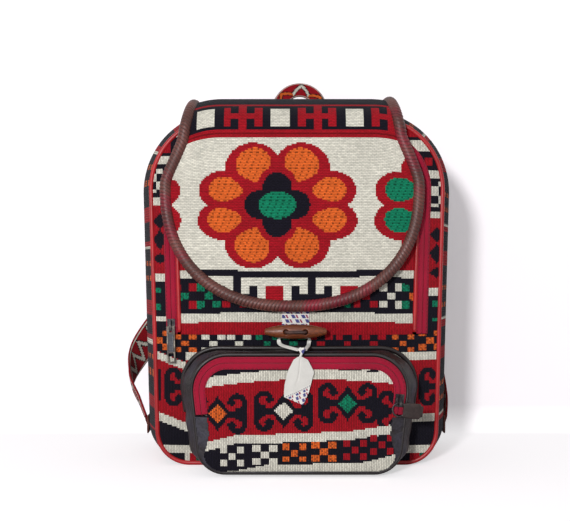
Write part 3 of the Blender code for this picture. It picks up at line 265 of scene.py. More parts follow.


# %% [markdown]
# The bag is flat-woven wool. Every yarn could be a mesh of its own, which would be millions of faces.
# Here one face is one stitch with its own colour, and the ribs, the crossing stitches and the fuzz come
# from bump and sheen on top of it, and from painted shade that darkens the grooves between them.

# %% Wool
def wool(name, tall=2.0, depth=0.0007, fuzz=0.04):
    """Flat-woven wool in the colour of each stitch, with painted shade in the grooves of the weave."""
    g = Graph(name, Sheen_Weight=fuzz, Sheen_Roughness=0.5, Specular_IOR_Level=0.08)
    relief, tone = g.effect(weave, Cloth=g.cloth(), Tall=tall)
    uneven, _, fibre = g.effect(unevenness, Wide=24.0, Fine=2600.0, Depth=0.16)
    # Painted shade: the relief darkens the stitch colour in the grooves between ribs and between stitches;
    # the stitch tone and the unevenness are the yarn's own.
    shade = g.math("MULTIPLY", g.range(relief, 0.0, 0.8, 0.42, 1.06), g.range(tone, 0, 1, 0.86, 1.1))
    shade = g.math("MULTIPLY", shade, uneven)
    colour = g.shaded(g.thread(), shade)
    height = g.math("ADD", relief, g.math("MULTIPLY", fibre, 0.18))
    return g.use(Base_Color=colour, Roughness=g.range(tone, 0, 1, 0.82, 0.95),
                 Normal=g.bump(height, depth))


body_wool = wool("body_wool")
flap_wool = wool("flap_wool", tall=2.4, depth=0.0005)
strap_wool = wool("strap_wool", tall=1.6)


# %% [markdown]
# The linings and the back are plain cloth, the piping is coated vinyl, and the pocket's sides, the
# tabs and the laces are leather. One material with many switches could serve them all. Three short
# functions are easier to read, and each gives its finish the wear that it really gets.

# %% Plain cloth, vinyl and leather
def plain_cloth(name, colour, pitch, depth=0.0003, finish=0.8):
    """A fine plain weave in one colour, drawn in the piece's own place."""
    g = Graph(name, Sheen_Weight=0.08, Specular_IOR_Level=0.2)
    relief, = g.effect(fine_weave, Threads=2 * math.pi / pitch)
    uneven, _, fibre = g.effect(unevenness, Wide=40.0, Fine=1800.0, Depth=0.18)
    # Painted shade: the colour is darker where the weave's relief is low, between the threads.
    shade = g.math("MULTIPLY", g.range(relief, 0, 1, 0.86, 1.05), uneven)
    base = g.shaded(tuple(colour), shade)
    height = g.math("ADD", relief, g.math("MULTIPLY", fibre, 0.4))
    return g.use(Base_Color=base, Roughness=g.range(fibre, 0.3, 0.7, finish - 0.06, finish + 0.06),
                 Normal=g.bump(height, depth))


def vinyl(name, colour):
    """Coated piping: nearly smooth, a little scuffed and darker where dust lies."""
    g = Graph(name, Coat_Weight=0.06, Coat_Roughness=0.3, Specular_IOR_Level=0.35)
    _, wide, fine = g.effect(unevenness, Wide=35.0, Fine=900.0, Depth=0.2)
    dark = tuple(colour * 0.72) + (1.0,)
    base = g.mix(g.range(wide, 0.35, 0.65, 0, 1), dark, tuple(colour) + (1.0,))
    return g.use(Base_Color=base, Roughness=g.range(wide, 0.3, 0.7, 0.34, 0.52),
                 Normal=g.bump(fine, 0.0002, 0.6))


def leather(name, colour, worn, grain=520.0, gloss=0.42, creases=0.5):
    """Leather with a pebbled grain, folds that run through it, and worn high spots."""
    g = Graph(name, Coat_Weight=0.04, Coat_Roughness=0.35, Specular_IOR_Level=0.3)
    pebble, crease, wide, wear = g.effect(hide, Grain=grain)
    base = g.mix(wear, tuple(colour) + (1.0,), tuple(worn) + (1.0,))
    dark = g.mix(g.range(pebble, 0.2, 0.7, 0, 0.5), base, tuple(colour * 0.4) + (1.0,))
    fold = g.bump(crease, 0.0015, creases)
    return g.use(Base_Color=dark, Roughness=g.range(wide, 0.3, 0.7, gloss, gloss + 0.2),
                 Normal=g.bump(pebble, 0.0003, 0.5, fold))


red_vinyl = vinyl("red_vinyl", srgb(164, 22, 28))
dark_vinyl = vinyl("dark_vinyl", srgb(26, 20, 21))
pocket_leather = leather("pocket_leather", srgb(27, 21, 23), srgb(46, 44, 56), 620.0, 0.42, 1.0)
navy_cloth = plain_cloth("navy_cloth", srgb(30, 28, 40), 0.0009)
print("materials:", len(bpy.data.materials))


# %% [markdown]
# ## Surfaces of the bag
#
# The front and back of the bag swell a little between their piped edges. Each woven piece below is
# drawn flat, in its own cloth coordinates, and then laid on one of these surfaces.
# A cloth simulation could inflate the bag. A formula is enough for so slight a swell, and every piece
# can ask it where the cloth lies.

# %% Body surfaces
BODY_TOP = 0.354
CORNER = 0.075
HALF_BOTTOM = 0.1425
HALF_TOP = 0.152
HALF_SPREAD = 0.0095
HALF_DEPTH = 0.065
FRONT_SWELL = 0.014
BACK_SWELL = 0.005
TOP_SWELL = 0.014
POCKET_FRONT = 0.116
POCKET_SWELL = 0.007
POCKET_MIDDLE = 0.002
FACE_TOP = 0.119


def swell(x, z, half, bottom, top):
    """1 in the middle of a stuffed panel, 0 at its edges."""
    middle = (bottom + top) / 2
    across = np.minimum(1, np.abs(x) / half) ** 4
    up = np.minimum(1, np.abs(z - middle) / (top - middle)) ** 4
    return (1 - across) * (1 - up)


def ease(share):
    share = np.clip(share, 0, 1)
    return share * share * (3 - 2 * share)


def points_of(x, y, z):
    return np.stack(np.broadcast_arrays(x, y, z), axis=-1).astype(float)


def body_swell(x, z):
    return swell(x, z, HALF_BOTTOM + HALF_SPREAD * z / BODY_TOP, 0.0, BODY_TOP)


def body_front(x, z, lift=0.0):
    return points_of(x, -(HALF_DEPTH + FRONT_SWELL * body_swell(x, z) + lift), z)


def body_back(x, z, lift=0.0):
    return points_of(x, HALF_DEPTH + BACK_SWELL * body_swell(x, z) + lift, z)


def pocket_front(x, z, lift=0.0):
    puff = POCKET_SWELL * swell(x - POCKET_MIDDLE, z, 0.110, 0.002, 0.117)
    return points_of(x, -(POCKET_FRONT + puff + lift), z)


def gusset_top(x, y):
    """The height of the bag's top side wall."""
    round_top = CORNER + TOP_SWELL * np.cos(np.pi * y / 0.1236)
    beyond = np.maximum(0, np.abs(x) - (HALF_TOP - CORNER))
    return BODY_TOP - CORNER + np.sqrt(np.maximum(0, round_top ** 2 - beyond ** 2))


# %% [markdown]
# An outline is a four-sided figure with round corners. It gives a dense line of points with their
# outward directions, and how far inside the edge any point lies.
# A curve object could draw it too, but it can't say how deep inside a point lies, and each cloth is
# cut by that depth.

# %% Rounded outline
class Outline:
    def __init__(self, half_bottom, half_top, bottom, top, radius_bottom, radius_top, centre=0.0):
        self.corners = np.array([(centre - half_bottom, bottom), (centre + half_bottom, bottom),
                                 (centre + half_top, top), (centre - half_top, top)])
        self.radii = [radius_bottom, radius_bottom, radius_top, radius_top]
        along = np.roll(self.corners, -1, axis=0) - self.corners
        along /= np.linalg.norm(along, axis=1)[:, None]
        self.normals = np.stack([along[:, 1], -along[:, 0]], axis=1)
        self.centres = []
        for i in range(4):
            before, after = self.normals[i - 1], self.normals[i]
            self.centres.append(self.corners[i] - self.radii[i] * (before + after) / (1 + before @ after))

    def line(self, step=0.0015):
        """Points and outward directions all round, anticlockwise from the lower left corner."""
        points, away = [], []
        for i in range(4):
            start = math.atan2(*self.normals[i - 1][::-1])
            stop = math.atan2(*self.normals[i][::-1])
            stop += 2 * math.pi if stop < start else 0
            count = max(4, round(self.radii[i] * (stop - start) / step))
            for angle in np.linspace(start, stop, count + 1):
                away.append((math.cos(angle), math.sin(angle)))
                points.append(self.centres[i] + self.radii[i] * np.array(away[-1]))
            following = (i + 1) % 4
            goal = self.centres[following] + self.radii[following] * self.normals[i]
            count = max(2, round(np.linalg.norm(goal - points[-1]) / step))
            begin = points[-1]
            for k in range(1, count):
                points.append(begin + (goal - begin) * k / count)
                away.append(tuple(self.normals[i]))
        return np.array(points), np.array(away)

    def depth(self, x, z):
        """How far inside the edge a point lies."""
        point = np.stack([x, z], axis=-1)
        sides = [-(point - self.corners[i]) @ self.normals[i] for i in range(4)]
        inside = np.min(sides, axis=0)
        for i in range(4):
            before, after = self.normals[i - 1], self.normals[i]
            share = (point - self.centres[i]) @ np.linalg.inv(np.stack([before, after]))
            in_corner = (share[..., 0] > 0) & (share[..., 1] > 0)
            reach = self.radii[i] - np.linalg.norm(point - self.centres[i], axis=-1)
            inside = np.where(in_corner, reach, inside)
        return inside


body_outline = Outline(HALF_BOTTOM, HALF_TOP, 0.0, BODY_TOP, 0.035, CORNER)
pocket_back_outline = Outline(0.104, 0.118, 0.006, 0.117, 0.028, 0.034, POCKET_MIDDLE)
pocket_face_outline = Outline(0.096, 0.110, 0.002, FACE_TOP, 0.028, 0.036, POCKET_MIDDLE)
print("body edge points", len(body_outline.line()[0]))


# %% [markdown]
# ## Making pieces
#
# `piece` turns points and faces into an object that rides on a body and stands for its packed
# nodes. `woven` lays a grid of stitches, colours each stitch by a pattern, and drops the stitches
# outside the piece's outline, so that every edge between two colours is stepped as in real weaving.

# %% Piece helpers
def piece(name, points, faces, material, body="bag", stands_for=(), cloth=None, colours=None, caps=None):
    """An object from points and quads, with triangles in caps to close its ends."""
    points = np.asarray(points, float).reshape(-1, 3)
    faces = np.asarray(faces, np.int32)
    corners = faces.ravel()
    starts = np.arange(0, faces.size, 4, dtype=np.int32)
    if caps is not None:
        starts = np.concatenate([starts, faces.size + 3 * np.arange(len(caps), dtype=np.int32)])
        corners = np.concatenate([corners, np.asarray(caps, np.int32).ravel()])
    extra = len(corners) - faces.size
    mesh = bpy.data.meshes.new(name)
    mesh.vertices.add(len(points))
    mesh.vertices.foreach_set("co", points.astype(np.float32).ravel())
    mesh.loops.add(len(corners))
    mesh.loops.foreach_set("vertex_index", corners)
    mesh.polygons.add(len(starts))
    mesh.polygons.foreach_set("loop_start", starts)
    mesh.update(calc_edges=True)
    if cloth is not None:
        flat = np.asarray(cloth, float).reshape(-1, 2)
        flat = np.concatenate([flat, np.repeat(flat[:1], extra, axis=0)])
        mesh.uv_layers.new(name="Cloth").data.foreach_set("uv", flat.astype(np.float32).ravel())
    if colours is not None:
        shown = np.concatenate([np.repeat(colours, 4, axis=0), np.repeat(colours[:1], extra, axis=0)])
        shown = np.concatenate([np.clip(shown, 0, 1), np.ones((len(shown), 1))], axis=1)
        layer = mesh.color_attributes.new(name="Thread", type="FLOAT_COLOR", domain="CORNER")
        layer.data.foreach_set("color", shown.astype(np.float32).ravel())
    mesh.polygons.foreach_set("use_smooth", np.full(len(starts), True))
    mesh.materials.append(material)
    made = bpy.data.objects.new(name, mesh)
    bpy.context.scene.collection.objects.link(made)
    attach(made, body)
    if stands_for:
        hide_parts(*stands_for)
    return made


# %% Grid of points
def grid_faces(rows, columns, wrap_rows=False, wrap_columns=False):
    """Quads of a grid of points, anticlockwise as seen with rows up and columns to the right."""
    r = np.arange(rows if wrap_rows else rows - 1)
    c = np.arange(columns if wrap_columns else columns - 1)
    r, c = [a.ravel() for a in np.meshgrid(r, c, indexing="ij")]
    up, right = (r + 1) % rows, (c + 1) % columns
    return np.stack([r * columns + c, r * columns + right, up * columns + right, up * columns + c], axis=1)


def lengths_along(points):
    """How far along a line each of its points lies."""
    steps = np.linalg.norm(np.diff(points, axis=0), axis=1)
    return np.concatenate([[0.0], np.cumsum(steps)])


# %% Cloth of stitches
def woven(name, across, along, stitch, keep, lay, paint, material, turn=False, **options):
    """A cloth of stitches over the ranges across and along, in its own flat coordinates."""
    u = np.arange(across[0], across[1] + stitch, stitch)
    v = np.arange(along[0], along[1] + stitch, stitch)
    faces = grid_faces(len(v), len(u))
    flat_u, flat_v = [a.ravel() for a in np.meshgrid(u, v)]
    middle_u, middle_v = flat_u[faces].mean(axis=1), flat_v[faces].mean(axis=1)
    kept = keep(middle_u, middle_v)
    faces, middle_u, middle_v = faces[kept], middle_u[kept], middle_v[kept]
    used, renumbered = np.unique(faces, return_inverse=True)
    faces = renumbered.reshape(faces.shape)
    flat_u, flat_v = flat_u[used], flat_v[used]
    colours = paint(middle_u, middle_v) * chance.normal(1.0, 0.05, (len(faces), 1))
    counted = np.stack([flat_u[faces], flat_v[faces]], axis=-1) / stitch
    if turn:
        counted = counted[..., ::-1]
    return piece(name, lay(flat_u, flat_v), faces, material, cloth=counted, colours=colours, **options)


# %% Pieces from rows
def rows_piece(name, sections, material, closed=False, ring=True, paint=None, stitch=0.002, turn=False,
               **options):
    """A piece from sections, the same number of points in each: a ring each, or an open strip each."""
    sections = np.asarray(sections, float)
    rows, columns = sections.shape[:2]
    faces = grid_faces(rows, columns, wrap_rows=closed, wrap_columns=ring)
    row, column = faces[:, 0] // columns, faces[:, 0] % columns
    down = lengths_along(sections[:, 0])
    down = np.append(down, 2 * down[-1] - down[-2])
    around = lengths_along(sections[rows // 2])
    around = np.append(around, around[-1] + np.linalg.norm(sections[rows // 2, -1] - sections[rows // 2, 0]))
    u0, u1, v0, v1 = around[column], around[column + 1], down[row], down[row + 1]
    flat_u, flat_v = np.stack([u0, u1, u1, u0], axis=1), np.stack([v0, v0, v1, v1], axis=1)
    cloth = np.stack([flat_u, flat_v], axis=-1) / stitch
    if turn:
        cloth = cloth[..., ::-1]
    colours = None if paint is None else paint(around[column], down[row], column)
    corners = sections.reshape(-1, 3)[faces] - sections.mean(axis=(0, 1))
    inside_out = ring and np.sum(np.cross(corners[:, 0], corners[:, 1]) * corners[:, 2]) < 0
    if inside_out:
        faces, cloth = faces[:, ::-1], cloth[:, ::-1]
    caps = None
    if ring and not closed:
        first = [(0, k + 1, k) for k in range(1, columns - 1)]
        last = (rows - 1) * columns
        caps = np.array(first + [(last, last + k, last + k + 1) for k in range(1, columns - 1)])
        caps = caps[:, ::-1] if inside_out else caps
    return piece(name, sections, faces, material, cloth=cloth, colours=colours, caps=caps, **options)


def tube_rows(path, radius, sides=10, closed=False, out=(0.0, -1.0, 0.0)):
    """Round sections along a dense path. The radius may change along the path and round it."""
    path = np.asarray(path, float)
    if closed:
        along = np.roll(path, -1, axis=0) - np.roll(path, 1, axis=0)
    else:
        along = np.gradient(path, axis=0)
    along /= np.linalg.norm(along, axis=1)[:, None]
    out = np.broadcast_to(np.asarray(out, float), along.shape)
    out = out - along * np.sum(out * along, axis=1)[:, None]
    out /= np.linalg.norm(out, axis=1)[:, None]
    side = np.cross(along, out)
    angle = np.arange(sides) * 2 * np.pi / sides
    radius = radius if np.ndim(radius) == 2 else np.reshape(radius, (-1, 1))
    reach = np.broadcast_to(radius, (len(path), sides))
    ring = np.cos(angle)[None, :, None] * out[:, None] + np.sin(angle)[None, :, None] * side[:, None]
    return path[:, None] + ring * reach[:, :, None]


def tube(name, path, radius, material, sides=10, closed=False, out=(0.0, -1.0, 0.0), **options):
    return rows_piece(name, tube_rows(path, radius, sides, closed, out), material, closed=closed,
                      stitch=0.001, **options)


# %% Lines along an edge
def resample(points, count):
    """The same line with count points at an even spacing."""
    run = lengths_along(points)
    goal = np.linspace(0, run[-1], count)
    return np.stack([np.interp(goal, run, points[:, k]) for k in range(points.shape[1])], axis=1)


def even(points, step, closed=False):
    """The same line with its points about a step apart."""
    points = np.asarray(points, float)
    if closed:
        points = np.concatenate([points, points[:1]])
    count = max(3, round(lengths_along(points)[-1] / step) + 1)
    line = resample(points, count)
    return line[:-1] if closed else line


def edge_line(outline, surface, inset, lift, floor=None, step=0.0015):
    """A line that runs inside an outline on a surface, all round or as an arch above a floor."""
    points, away = outline.line(step)
    inner = points - inset * away
    if floor is not None:
        above = inner[:, 1] > floor
        start = np.flatnonzero(~above & np.roll(above, -1))[0] + 1
        order = (np.arange(len(inner)) + start) % len(inner)
        inner = inner[order][: above.sum()]
    return surface(inner[:, 0], inner[:, 1], lift)


def edge_band(name, outline, surface, profile, material, floor=None, **options):
    """A band along an outline. Its profile is a ring of insets and lifts."""
    lines = [edge_line(outline, surface, inset, lift, floor) for inset, lift in profile]
    if floor is not None:
        lines = [resample(line, len(lines[0])) for line in lines]
    sections = np.stack(lines, axis=1)
    return rows_piece(name, sections, material, closed=floor is None, **options)


# %% [markdown]
# ## The woven pattern
#
# The cloth is a flat-woven kilim: bands of plain colour, small checks in fives, and diamonds with
# horns. Each is a simple shape in millimetres, and the stitches round each to their own steps.

# %% Pattern shapes
def box(x, z, left, right, low, high):
    return (x > left) & (x < right) & (z > low) & (z < high)


def five_checks(x, z, middle_x, middle_z, wide=3.6, tall=3.0, gap_x=8.0, gap_z=6.0):
    """Four checks round a fifth."""
    dx, dz = x - middle_x, z - middle_z
    corner = (np.abs(np.abs(dx) - gap_x) < wide) & (np.abs(np.abs(dz) - gap_z) < tall)
    return corner | ((np.abs(dx) < wide) & (np.abs(dz) < tall))


def horns(x, z, middle_x, middle_z):
    """The dark outline of a diamond with a pair of ram's horns on each side."""
    ax, az = np.abs(x - middle_x), np.abs(z - middle_z)
    curl = np.hypot(ax - 19, az - 10)
    hook = (curl > 4.2) & (curl < 9.4) & ~((ax < 17) & (az < 9))
    stem = (ax > 23.5) & (ax < 28.4) & (az < 10)
    arm = (az < 3.2) & (ax > 8) & (ax < 25)
    barb = np.abs(ax - 13.5) + np.abs(az - 11) < 4.6
    return hook | stem | arm | barb | (ax / 13 + az / 16.5 < 1)


def diamond(x, z, middle_x, middle_z, half_x, half_z):
    return np.abs(x - middle_x) / half_x + np.abs(z - middle_z) / half_z < 1


def plain(x, colour):
    return np.tile(colour, (len(x), 1))


def loosen(colours, x, z):
    """The orange and green yarn lies in loose slanting stitches, with the dark ground between them."""
    bright = (np.abs(colours - ORANGE).sum(axis=1) < 1e-6) | (np.abs(colours - GREEN).sum(axis=1) < 1e-6)
    gaps = ((x + 1.5 * z) % 4.8 < 1.7) & (np.sin(x * 1.9 + z * 3.1) > -0.7)
    colours[bright & gaps] = colours[bright & gaps] * 0.45 + NAVY * 0.5
    return colours


# %% [markdown]
# The front is cut from one length of kilim: checks above, spots beside the zip, and diamonds with
# bands below. It could be a painted image, which blurs up close. Here each band and check is a test on
# a stitch's place in millimetres, so the pattern is sharp at any distance and easy to move.

# %% Body pattern
BESIDE_ZIP = 0.018


def paint_body(x_metres, z_metres):
    """The front of the bag. The strips beside the zip were cut a little lower from the same cloth."""
    x, z = x_metres * 1000, z_metres * 1000
    beside = body_outline.depth(x_metres, z_metres) < BESIDE_ZIP
    v = z + 3 * (np.abs(x) / 140) ** 2 - 1.5
    v = np.where(beside & (z > 145), z + np.where(x < 0, 4, 18), v)
    colours = plain(x, RED)
    colours[(v > 190) & (v < 197)] = CREAM
    lower = (v > 154) & (v < 190)
    colours[lower] = NAVY
    checks = [(-112, RED, GREEN), (-88, GREEN, GREEN), (-62, RED, GREEN), (-36, ORANGE, CREAM),
              (-10, RED, RED), (16, CREAM, CREAM), (42, GREEN, GREEN), (68, RED, RED),
              (94, CREAM, CREAM), (117, GREEN, ORANGE)]
    for middle, first, second in checks:
        group = five_checks(x, v, middle, 171.5, 3.8, 3.6, 8.2, 8.6)
        colours[lower & group] = first
        colours[lower & group & (np.abs(x - middle) < 4)] = second
    for middle_x in (-146, 146):
        for middle_z, colour in ((164, GREEN), (181, GREEN)):
            colours[beside & box(x, v, middle_x - 9, middle_x + 9, middle_z - 3, middle_z + 3)] = colour
    colours[(v > 145) & (v < 154)] = CREAM
    for middle, half in ((213, 5), (232, 9), (251, 7)):
        for side in (-138, 141):
            spot = np.abs(x - side) / 7 + np.abs(v - middle) / half < 1.15
            colours[spot & beside] = NAVY
    colours[(v > 267) & (v < 315)] = NAVY
    colours[(v > 267) & (v < 274.5)] = CREAM
    step = (np.floor((v - 274.5) / 8.2).astype(int) + np.floor(x / 7.5).astype(int)) % 2
    colours[(v > 279) & (v < 304) & (step == 0)] = CREAM
    colours[(v > 308) & (v < 316)] = CREAM
    frame_band = (v > 316) & (v < 346)
    colours[frame_band] = CREAM
    colours[frame_band & box(np.abs(x), v, 120, 147, 316, 335)] = NAVY
    colours[frame_band & box(np.abs(x), v, 128, 137, 320, 329)] = RED
    colours[(v > 346) & (v < 350)] = NAVY
    return loosen(paint_low_front(x, z, colours), x, z)


def paint_low_front(x, z, colours):
    """The bands below the door, which sag towards the middle at the left and rise at the right."""
    band = z < 133 + 12 * (body_outline.depth(x / 1000, z / 1000) < BESIDE_ZIP)
    colours[band] = NAVY
    middles = [(-139, 127, ORANGE), (-112, 124, ORANGE), (-84, 124, CREAM), (-58, 124, CREAM),
               (-30, 124, GREEN), (-4, 124, GREEN), (24, 124, RED), (50, 124, RED), (76, 124, RED),
               (106, 124, ORANGE), (134, 127, ORANGE)]
    for middle_x, middle_z, colour in middles:
        colours[band & five_checks(x, z, middle_x, middle_z, 3.8, 3.0, 8, 6.5)] = colour
    low = z - np.where(x < -112, -0.35 * (x + 142), 0)
    colours[(z < 115) & (low < 116)] = RED
    colours[(low > 108) & (low < 115.5)] = CREAM
    row = (z < 106) & (z > 55)
    for middle in (-105, -41, 23, 87, 151):
        colours[row & horns(x, z, middle, 80)] = NAVY
    colours[row & box(x, z, -141, -137, 66, 98)] = NAVY
    slope = z - np.where(x < 0, -0.36 * (x + 142) * (x < -100), -2)
    colours[slope < 55] = CREAM
    colours[slope < 46.5] = NAVY
    colours[z < 20.5] = CREAM
    colours[z < 13.5] = RED
    patches = np.floor((x + 300) / 9).astype(int) % 5
    for which, colour in ((0, NAVY), (2, DEEP_GREEN), (4, NAVY)):
        colours[(z < 13.5) & (patches == which)] = colour
    colours[box(x, z, -113, -109, 0, 16) | box(x, z, 128, 142, 8, 20)] = CREAM
    return colours


# %% [markdown]
# The flap shows a large flower between two that its edges cut off, with a border above and below.
# The petals could be drawn as curves and filled. Testing each stitch against round and drop-shaped
# forms gives the stepped edge of real weaving without any curve.

# %% Flap pattern
def petals(x, z, lobes):
    """True in any of the round lobes, given as middle x, middle z, half width and half height."""
    inside = np.zeros(len(x), bool)
    for middle_x, middle_z, half_x, half_z in lobes:
        inside |= np.hypot((x - middle_x) / half_x, (z - middle_z) / half_z) < 1
    return inside


def drop_petals(x, z, size, lobes):
    """Petals that narrow towards the flower's middle."""
    inside = np.zeros(len(x), bool)
    for middle_x, middle_z, half_x, half_z, point_x, point_z in lobes:
        dx, dz = (x - middle_x) / (half_x * size), (z - middle_z) / (half_z * size)
        toward = dx * point_x + dz * point_z
        aside = np.abs(-dx * point_z + dz * point_x)
        taper = 1 - 0.42 * np.clip(toward, 0, 1)
        inside |= (np.abs(toward) ** 2.2 + (aside / taper) ** 2.2) < 1
    return inside


def paint_flower(x, z, colours, middle_x, middle_z, petal):
    """An eight-petalled flower with a dark four-lobed heart."""
    dx, dz = x - middle_x, z - middle_z
    colours[petals(dx, dz, [(-24, 37, 28, 26), (24, 37, 28, 26), (-24, -36, 28, 26), (24, -36, 28, 26),
                            (-52, 15.5, 26, 19.5), (52, 15.5, 26, 19.5), (-53, -14.5, 26, 19.5),
                            (53, -14.5, 26, 19.5), (0, 0, 44, 40)])] = RED
    lean, up = 0.45, 0.89
    inner = drop_petals(dx, dz, 1.0, [
        (-23, 40, 17.5, 17.5, lean, -up), (23, 40, 17.5, 17.5, -lean, -up),
        (-24, -38, 17.5, 17.5, lean, up), (23, -38, 17.5, 17.5, -lean, up),
        (-51, 16, 17, 12.8, 1, -0.2), (51, 16, 17, 12.8, -1, -0.2),
        (-52, -14, 17, 12.8, 1, 0.2), (51, -14, 17, 12.8, -1, 0.2)])
    heart = petals(dx, dz, [(0, 18, 14.5, 15), (0, -16, 14.5, 15), (-18, 1, 14.5, 14), (18, 1, 14.5, 14),
                            (0, 1, 20, 20)])
    ring = petals(dx, dz, [(0, 18, 20, 21), (0, -16, 20, 21), (-18, 1, 20, 20), (18, 1, 20, 20)])
    colours[inner & ~ring] = petal
    colours[heart] = NAVY
    centre = np.hypot(dx / 18.5, (dz - 0.5) / 13.5) < 1
    colours[centre] = GREEN
    slits = ((dx + 1.6 * dz) % 6.4 < 2.1) & ((dz + 40) % 3.2 < 1.7)
    colours[((inner & ~ring) | centre) & slits] *= 0.4


# %% Flap cloth
def paint_flap(x_metres, v_metres):
    x, v = x_metres * 1000, v_metres * 1000
    colours = plain(x, CREAM)
    for middle in (-19.5, 155, -194):
        paint_flower(x, v, colours, middle, 261, GREEN if middle == 155 else ORANGE)
    colours[(v > 328.5) & (v < 337)] = RED
    colours[(v > 332) & (v < 333.6)] = RED * 0.5
    colours[v > 337] = NAVY
    for turn in (0, 75):
        base = v - turn
        for k in range(-2, 3):
            colours[box(x, base, -17 + 74 * k - 9, -17 + 74 * k + 9, 341, 361)] = CREAM
            middle = -54 + 74 * k
            cross = box(x, base, middle - 4, middle + 4, 336, 368)
            cross |= box(x, base, middle - 19, middle + 19, 348, 355)
            cross |= (np.abs(np.abs(x - middle) - 15.5) < 3.8) & (base > 341) & (base < 362)
            colours[cross] = RED
    colours[(v > 366) & (v < 369)] = RED
    colours[(v > 409) & (v < 412)] = RED
    bow = v + 2.5 * (1 - (x / 110) ** 2)
    colours[(bow > 192.5) & (bow < 199)] = NAVY
    low = bow < 184
    for middle in (-134, -60, 14, 88):
        fork = box(x, bow, middle - 4, middle + 4, 176, 194)
        fork |= box(x, bow, middle - 20, middle + 20, 169, 176)
        fork |= (np.abs(np.abs(x - middle) - 16) < 4) & (bow > 169) & (bow < 184)
        colours[fork] = NAVY
        colours[low & box(x, bow, middle + 28, middle + 46, 168, 184)] = RED
    return colours


# %% [markdown]
# The pocket's cloth has the same diamonds and checks, but its bands bow and dip, because the cloth
# was cut a little askew. So the edges of the bands are lines over x rather than fixed heights.

# %% Pocket pattern
def paint_pocket(x_metres, z_metres):
    """A row of horned diamonds between two bowed cream stripes, and checks below."""
    x, z = x_metres * 1000, z_metres * 1000
    top = 99.0 - 11 * ((x - 15) / 120) ** 2
    wave = np.interp(x, [-100, -60, 0, 50, 88, 106], [27, 37.5, 39.5, 41.5, 47, 40])
    foot = np.interp(x, [-90, -60, -30, 30, 60, 92], [3.0, 6.5, 12.5, 14.0, 14.5, 22])
    colours = plain(x, RED)
    centres = [(-76, 61.5, ORANGE), (-13, 64.5, CREAM), (47.5, 71.5, GREEN), (104, 64, CREAM)]
    for middle_x, middle_z, colour in centres:
        colours[horns(x, z, middle_x, middle_z)] = NAVY
        colours[diamond(x, z, middle_x, middle_z, 9, 8.5)] = colour
    colours[z > top - 4.6] = CREAM
    colours[z > top + 4.6] = NAVY
    strip = (z > top + 4.6)
    for middle, colour in ((33, CREAM), (50, CREAM), (65, CREAM), (81, CREAM), (96, ORANGE)):
        colours[strip & box(x, z - top, middle - 3.6, middle + 3.6, 5.5, 11.5)] = colour
    for middle in (-16, -9, 8, 20):
        colours[strip & box(x, z - top, middle - 3, middle + 3, 5.5, 10)] = GREEN
    colours[z < wave + 3.6] = CREAM
    colours[z < wave - 4.6] = NAVY
    groups = [(-62, 20.8, CREAM), (-31, 22.0, CREAM), (-3, 24.7, ORANGE), (25, 26, ORANGE), (55, 27.5, RED),
              (80, 32, RED)]
    for middle_x, middle_z, colour in groups:
        colours[five_checks(x, z, middle_x, middle_z, 3.6, 3.1, 8, 6.2)] = colour
    colours[z < foot] = CREAM
    colours[box(x, z, -68, -48, 0, 4.5) | box(x, z, -12, 16, 0, 5.5)] = RED
    colours[box(x, z, -48, -12, 0, 3.8)] = NAVY
    return loosen(colours, x, z)


# %% [markdown]
# ## The front of the bag
#
# The door, the strip outside its zip and the panel behind the pocket are three pieces of the same
# cloth. Their rough edges run under the piping and the zip tapes, as sewn edges do.

# %% Front cloth
STITCH = 0.0016
TAPE_EDGE = 0.0162
DOOR_EDGE = 0.0300
SEAM = 0.133
HEM = 0.0036
front_area = (-0.153, 0.153)
border = woven("border_cloth", front_area, (SEAM, BODY_TOP), STITCH,
               lambda x, z: (body_outline.depth(x, z) > HEM) & (body_outline.depth(x, z) < TAPE_EDGE),
               body_front, paint_body, body_wool, stands_for=["front_border"])
door = woven("door_cloth", front_area, (SEAM, BODY_TOP), STITCH,
             lambda x, z: body_outline.depth(x, z) > DOOR_EDGE,
             body_front, paint_body, body_wool, stands_for=["door_panel"])
lower = woven("lower_cloth", front_area, (0.0, SEAM - STITCH), STITCH,
              lambda x, z: body_outline.depth(x, z) > HEM,
              body_front, paint_body, body_wool, stands_for=["front_lower_panel"])
print("stitches on the front:", sum(len(o.data.polygons) for o in (border, door, lower)))


# %% [markdown]
# Red vinyl piping with a cord inside runs round the front and the back edge, and round the door. A
# curve with a round bevel could make it. A tube of points is used, because the same helper also makes
# the laces and strings, and can close its own ends.

# %% Piping
def piping(name, outline, surface, inset, lift, radius, material, node, floor=None):
    line = even(edge_line(outline, surface, inset, lift, floor, 0.0012), 0.003, closed=floor is None)
    print(name, "length", round(float(lengths_along(line)[-1]), 3))
    return tube(name, line, radius, material, sides=12, closed=floor is None, stands_for=[node])


for name, surface in (("front", body_front), ("back", body_back)):
    piping(name + "_edge_piping", body_outline, surface, 0.0026, -0.0007, 0.0024, red_vinyl, name + "_piping")
piping("door_edge_piping", body_outline, body_front, 0.0284, 0.0002, 0.0021, red_vinyl,
       "door_piping", SEAM + 0.002)


# %% [markdown]
# A zip is two ribbed tapes with a coil between them, which hardly shows. Every tooth could be a mesh,
# but a fine zigzag tube gives the same look in the gap. The tapes are thin bands that follow the
# outline on the cloth's surface, so they bend with it.

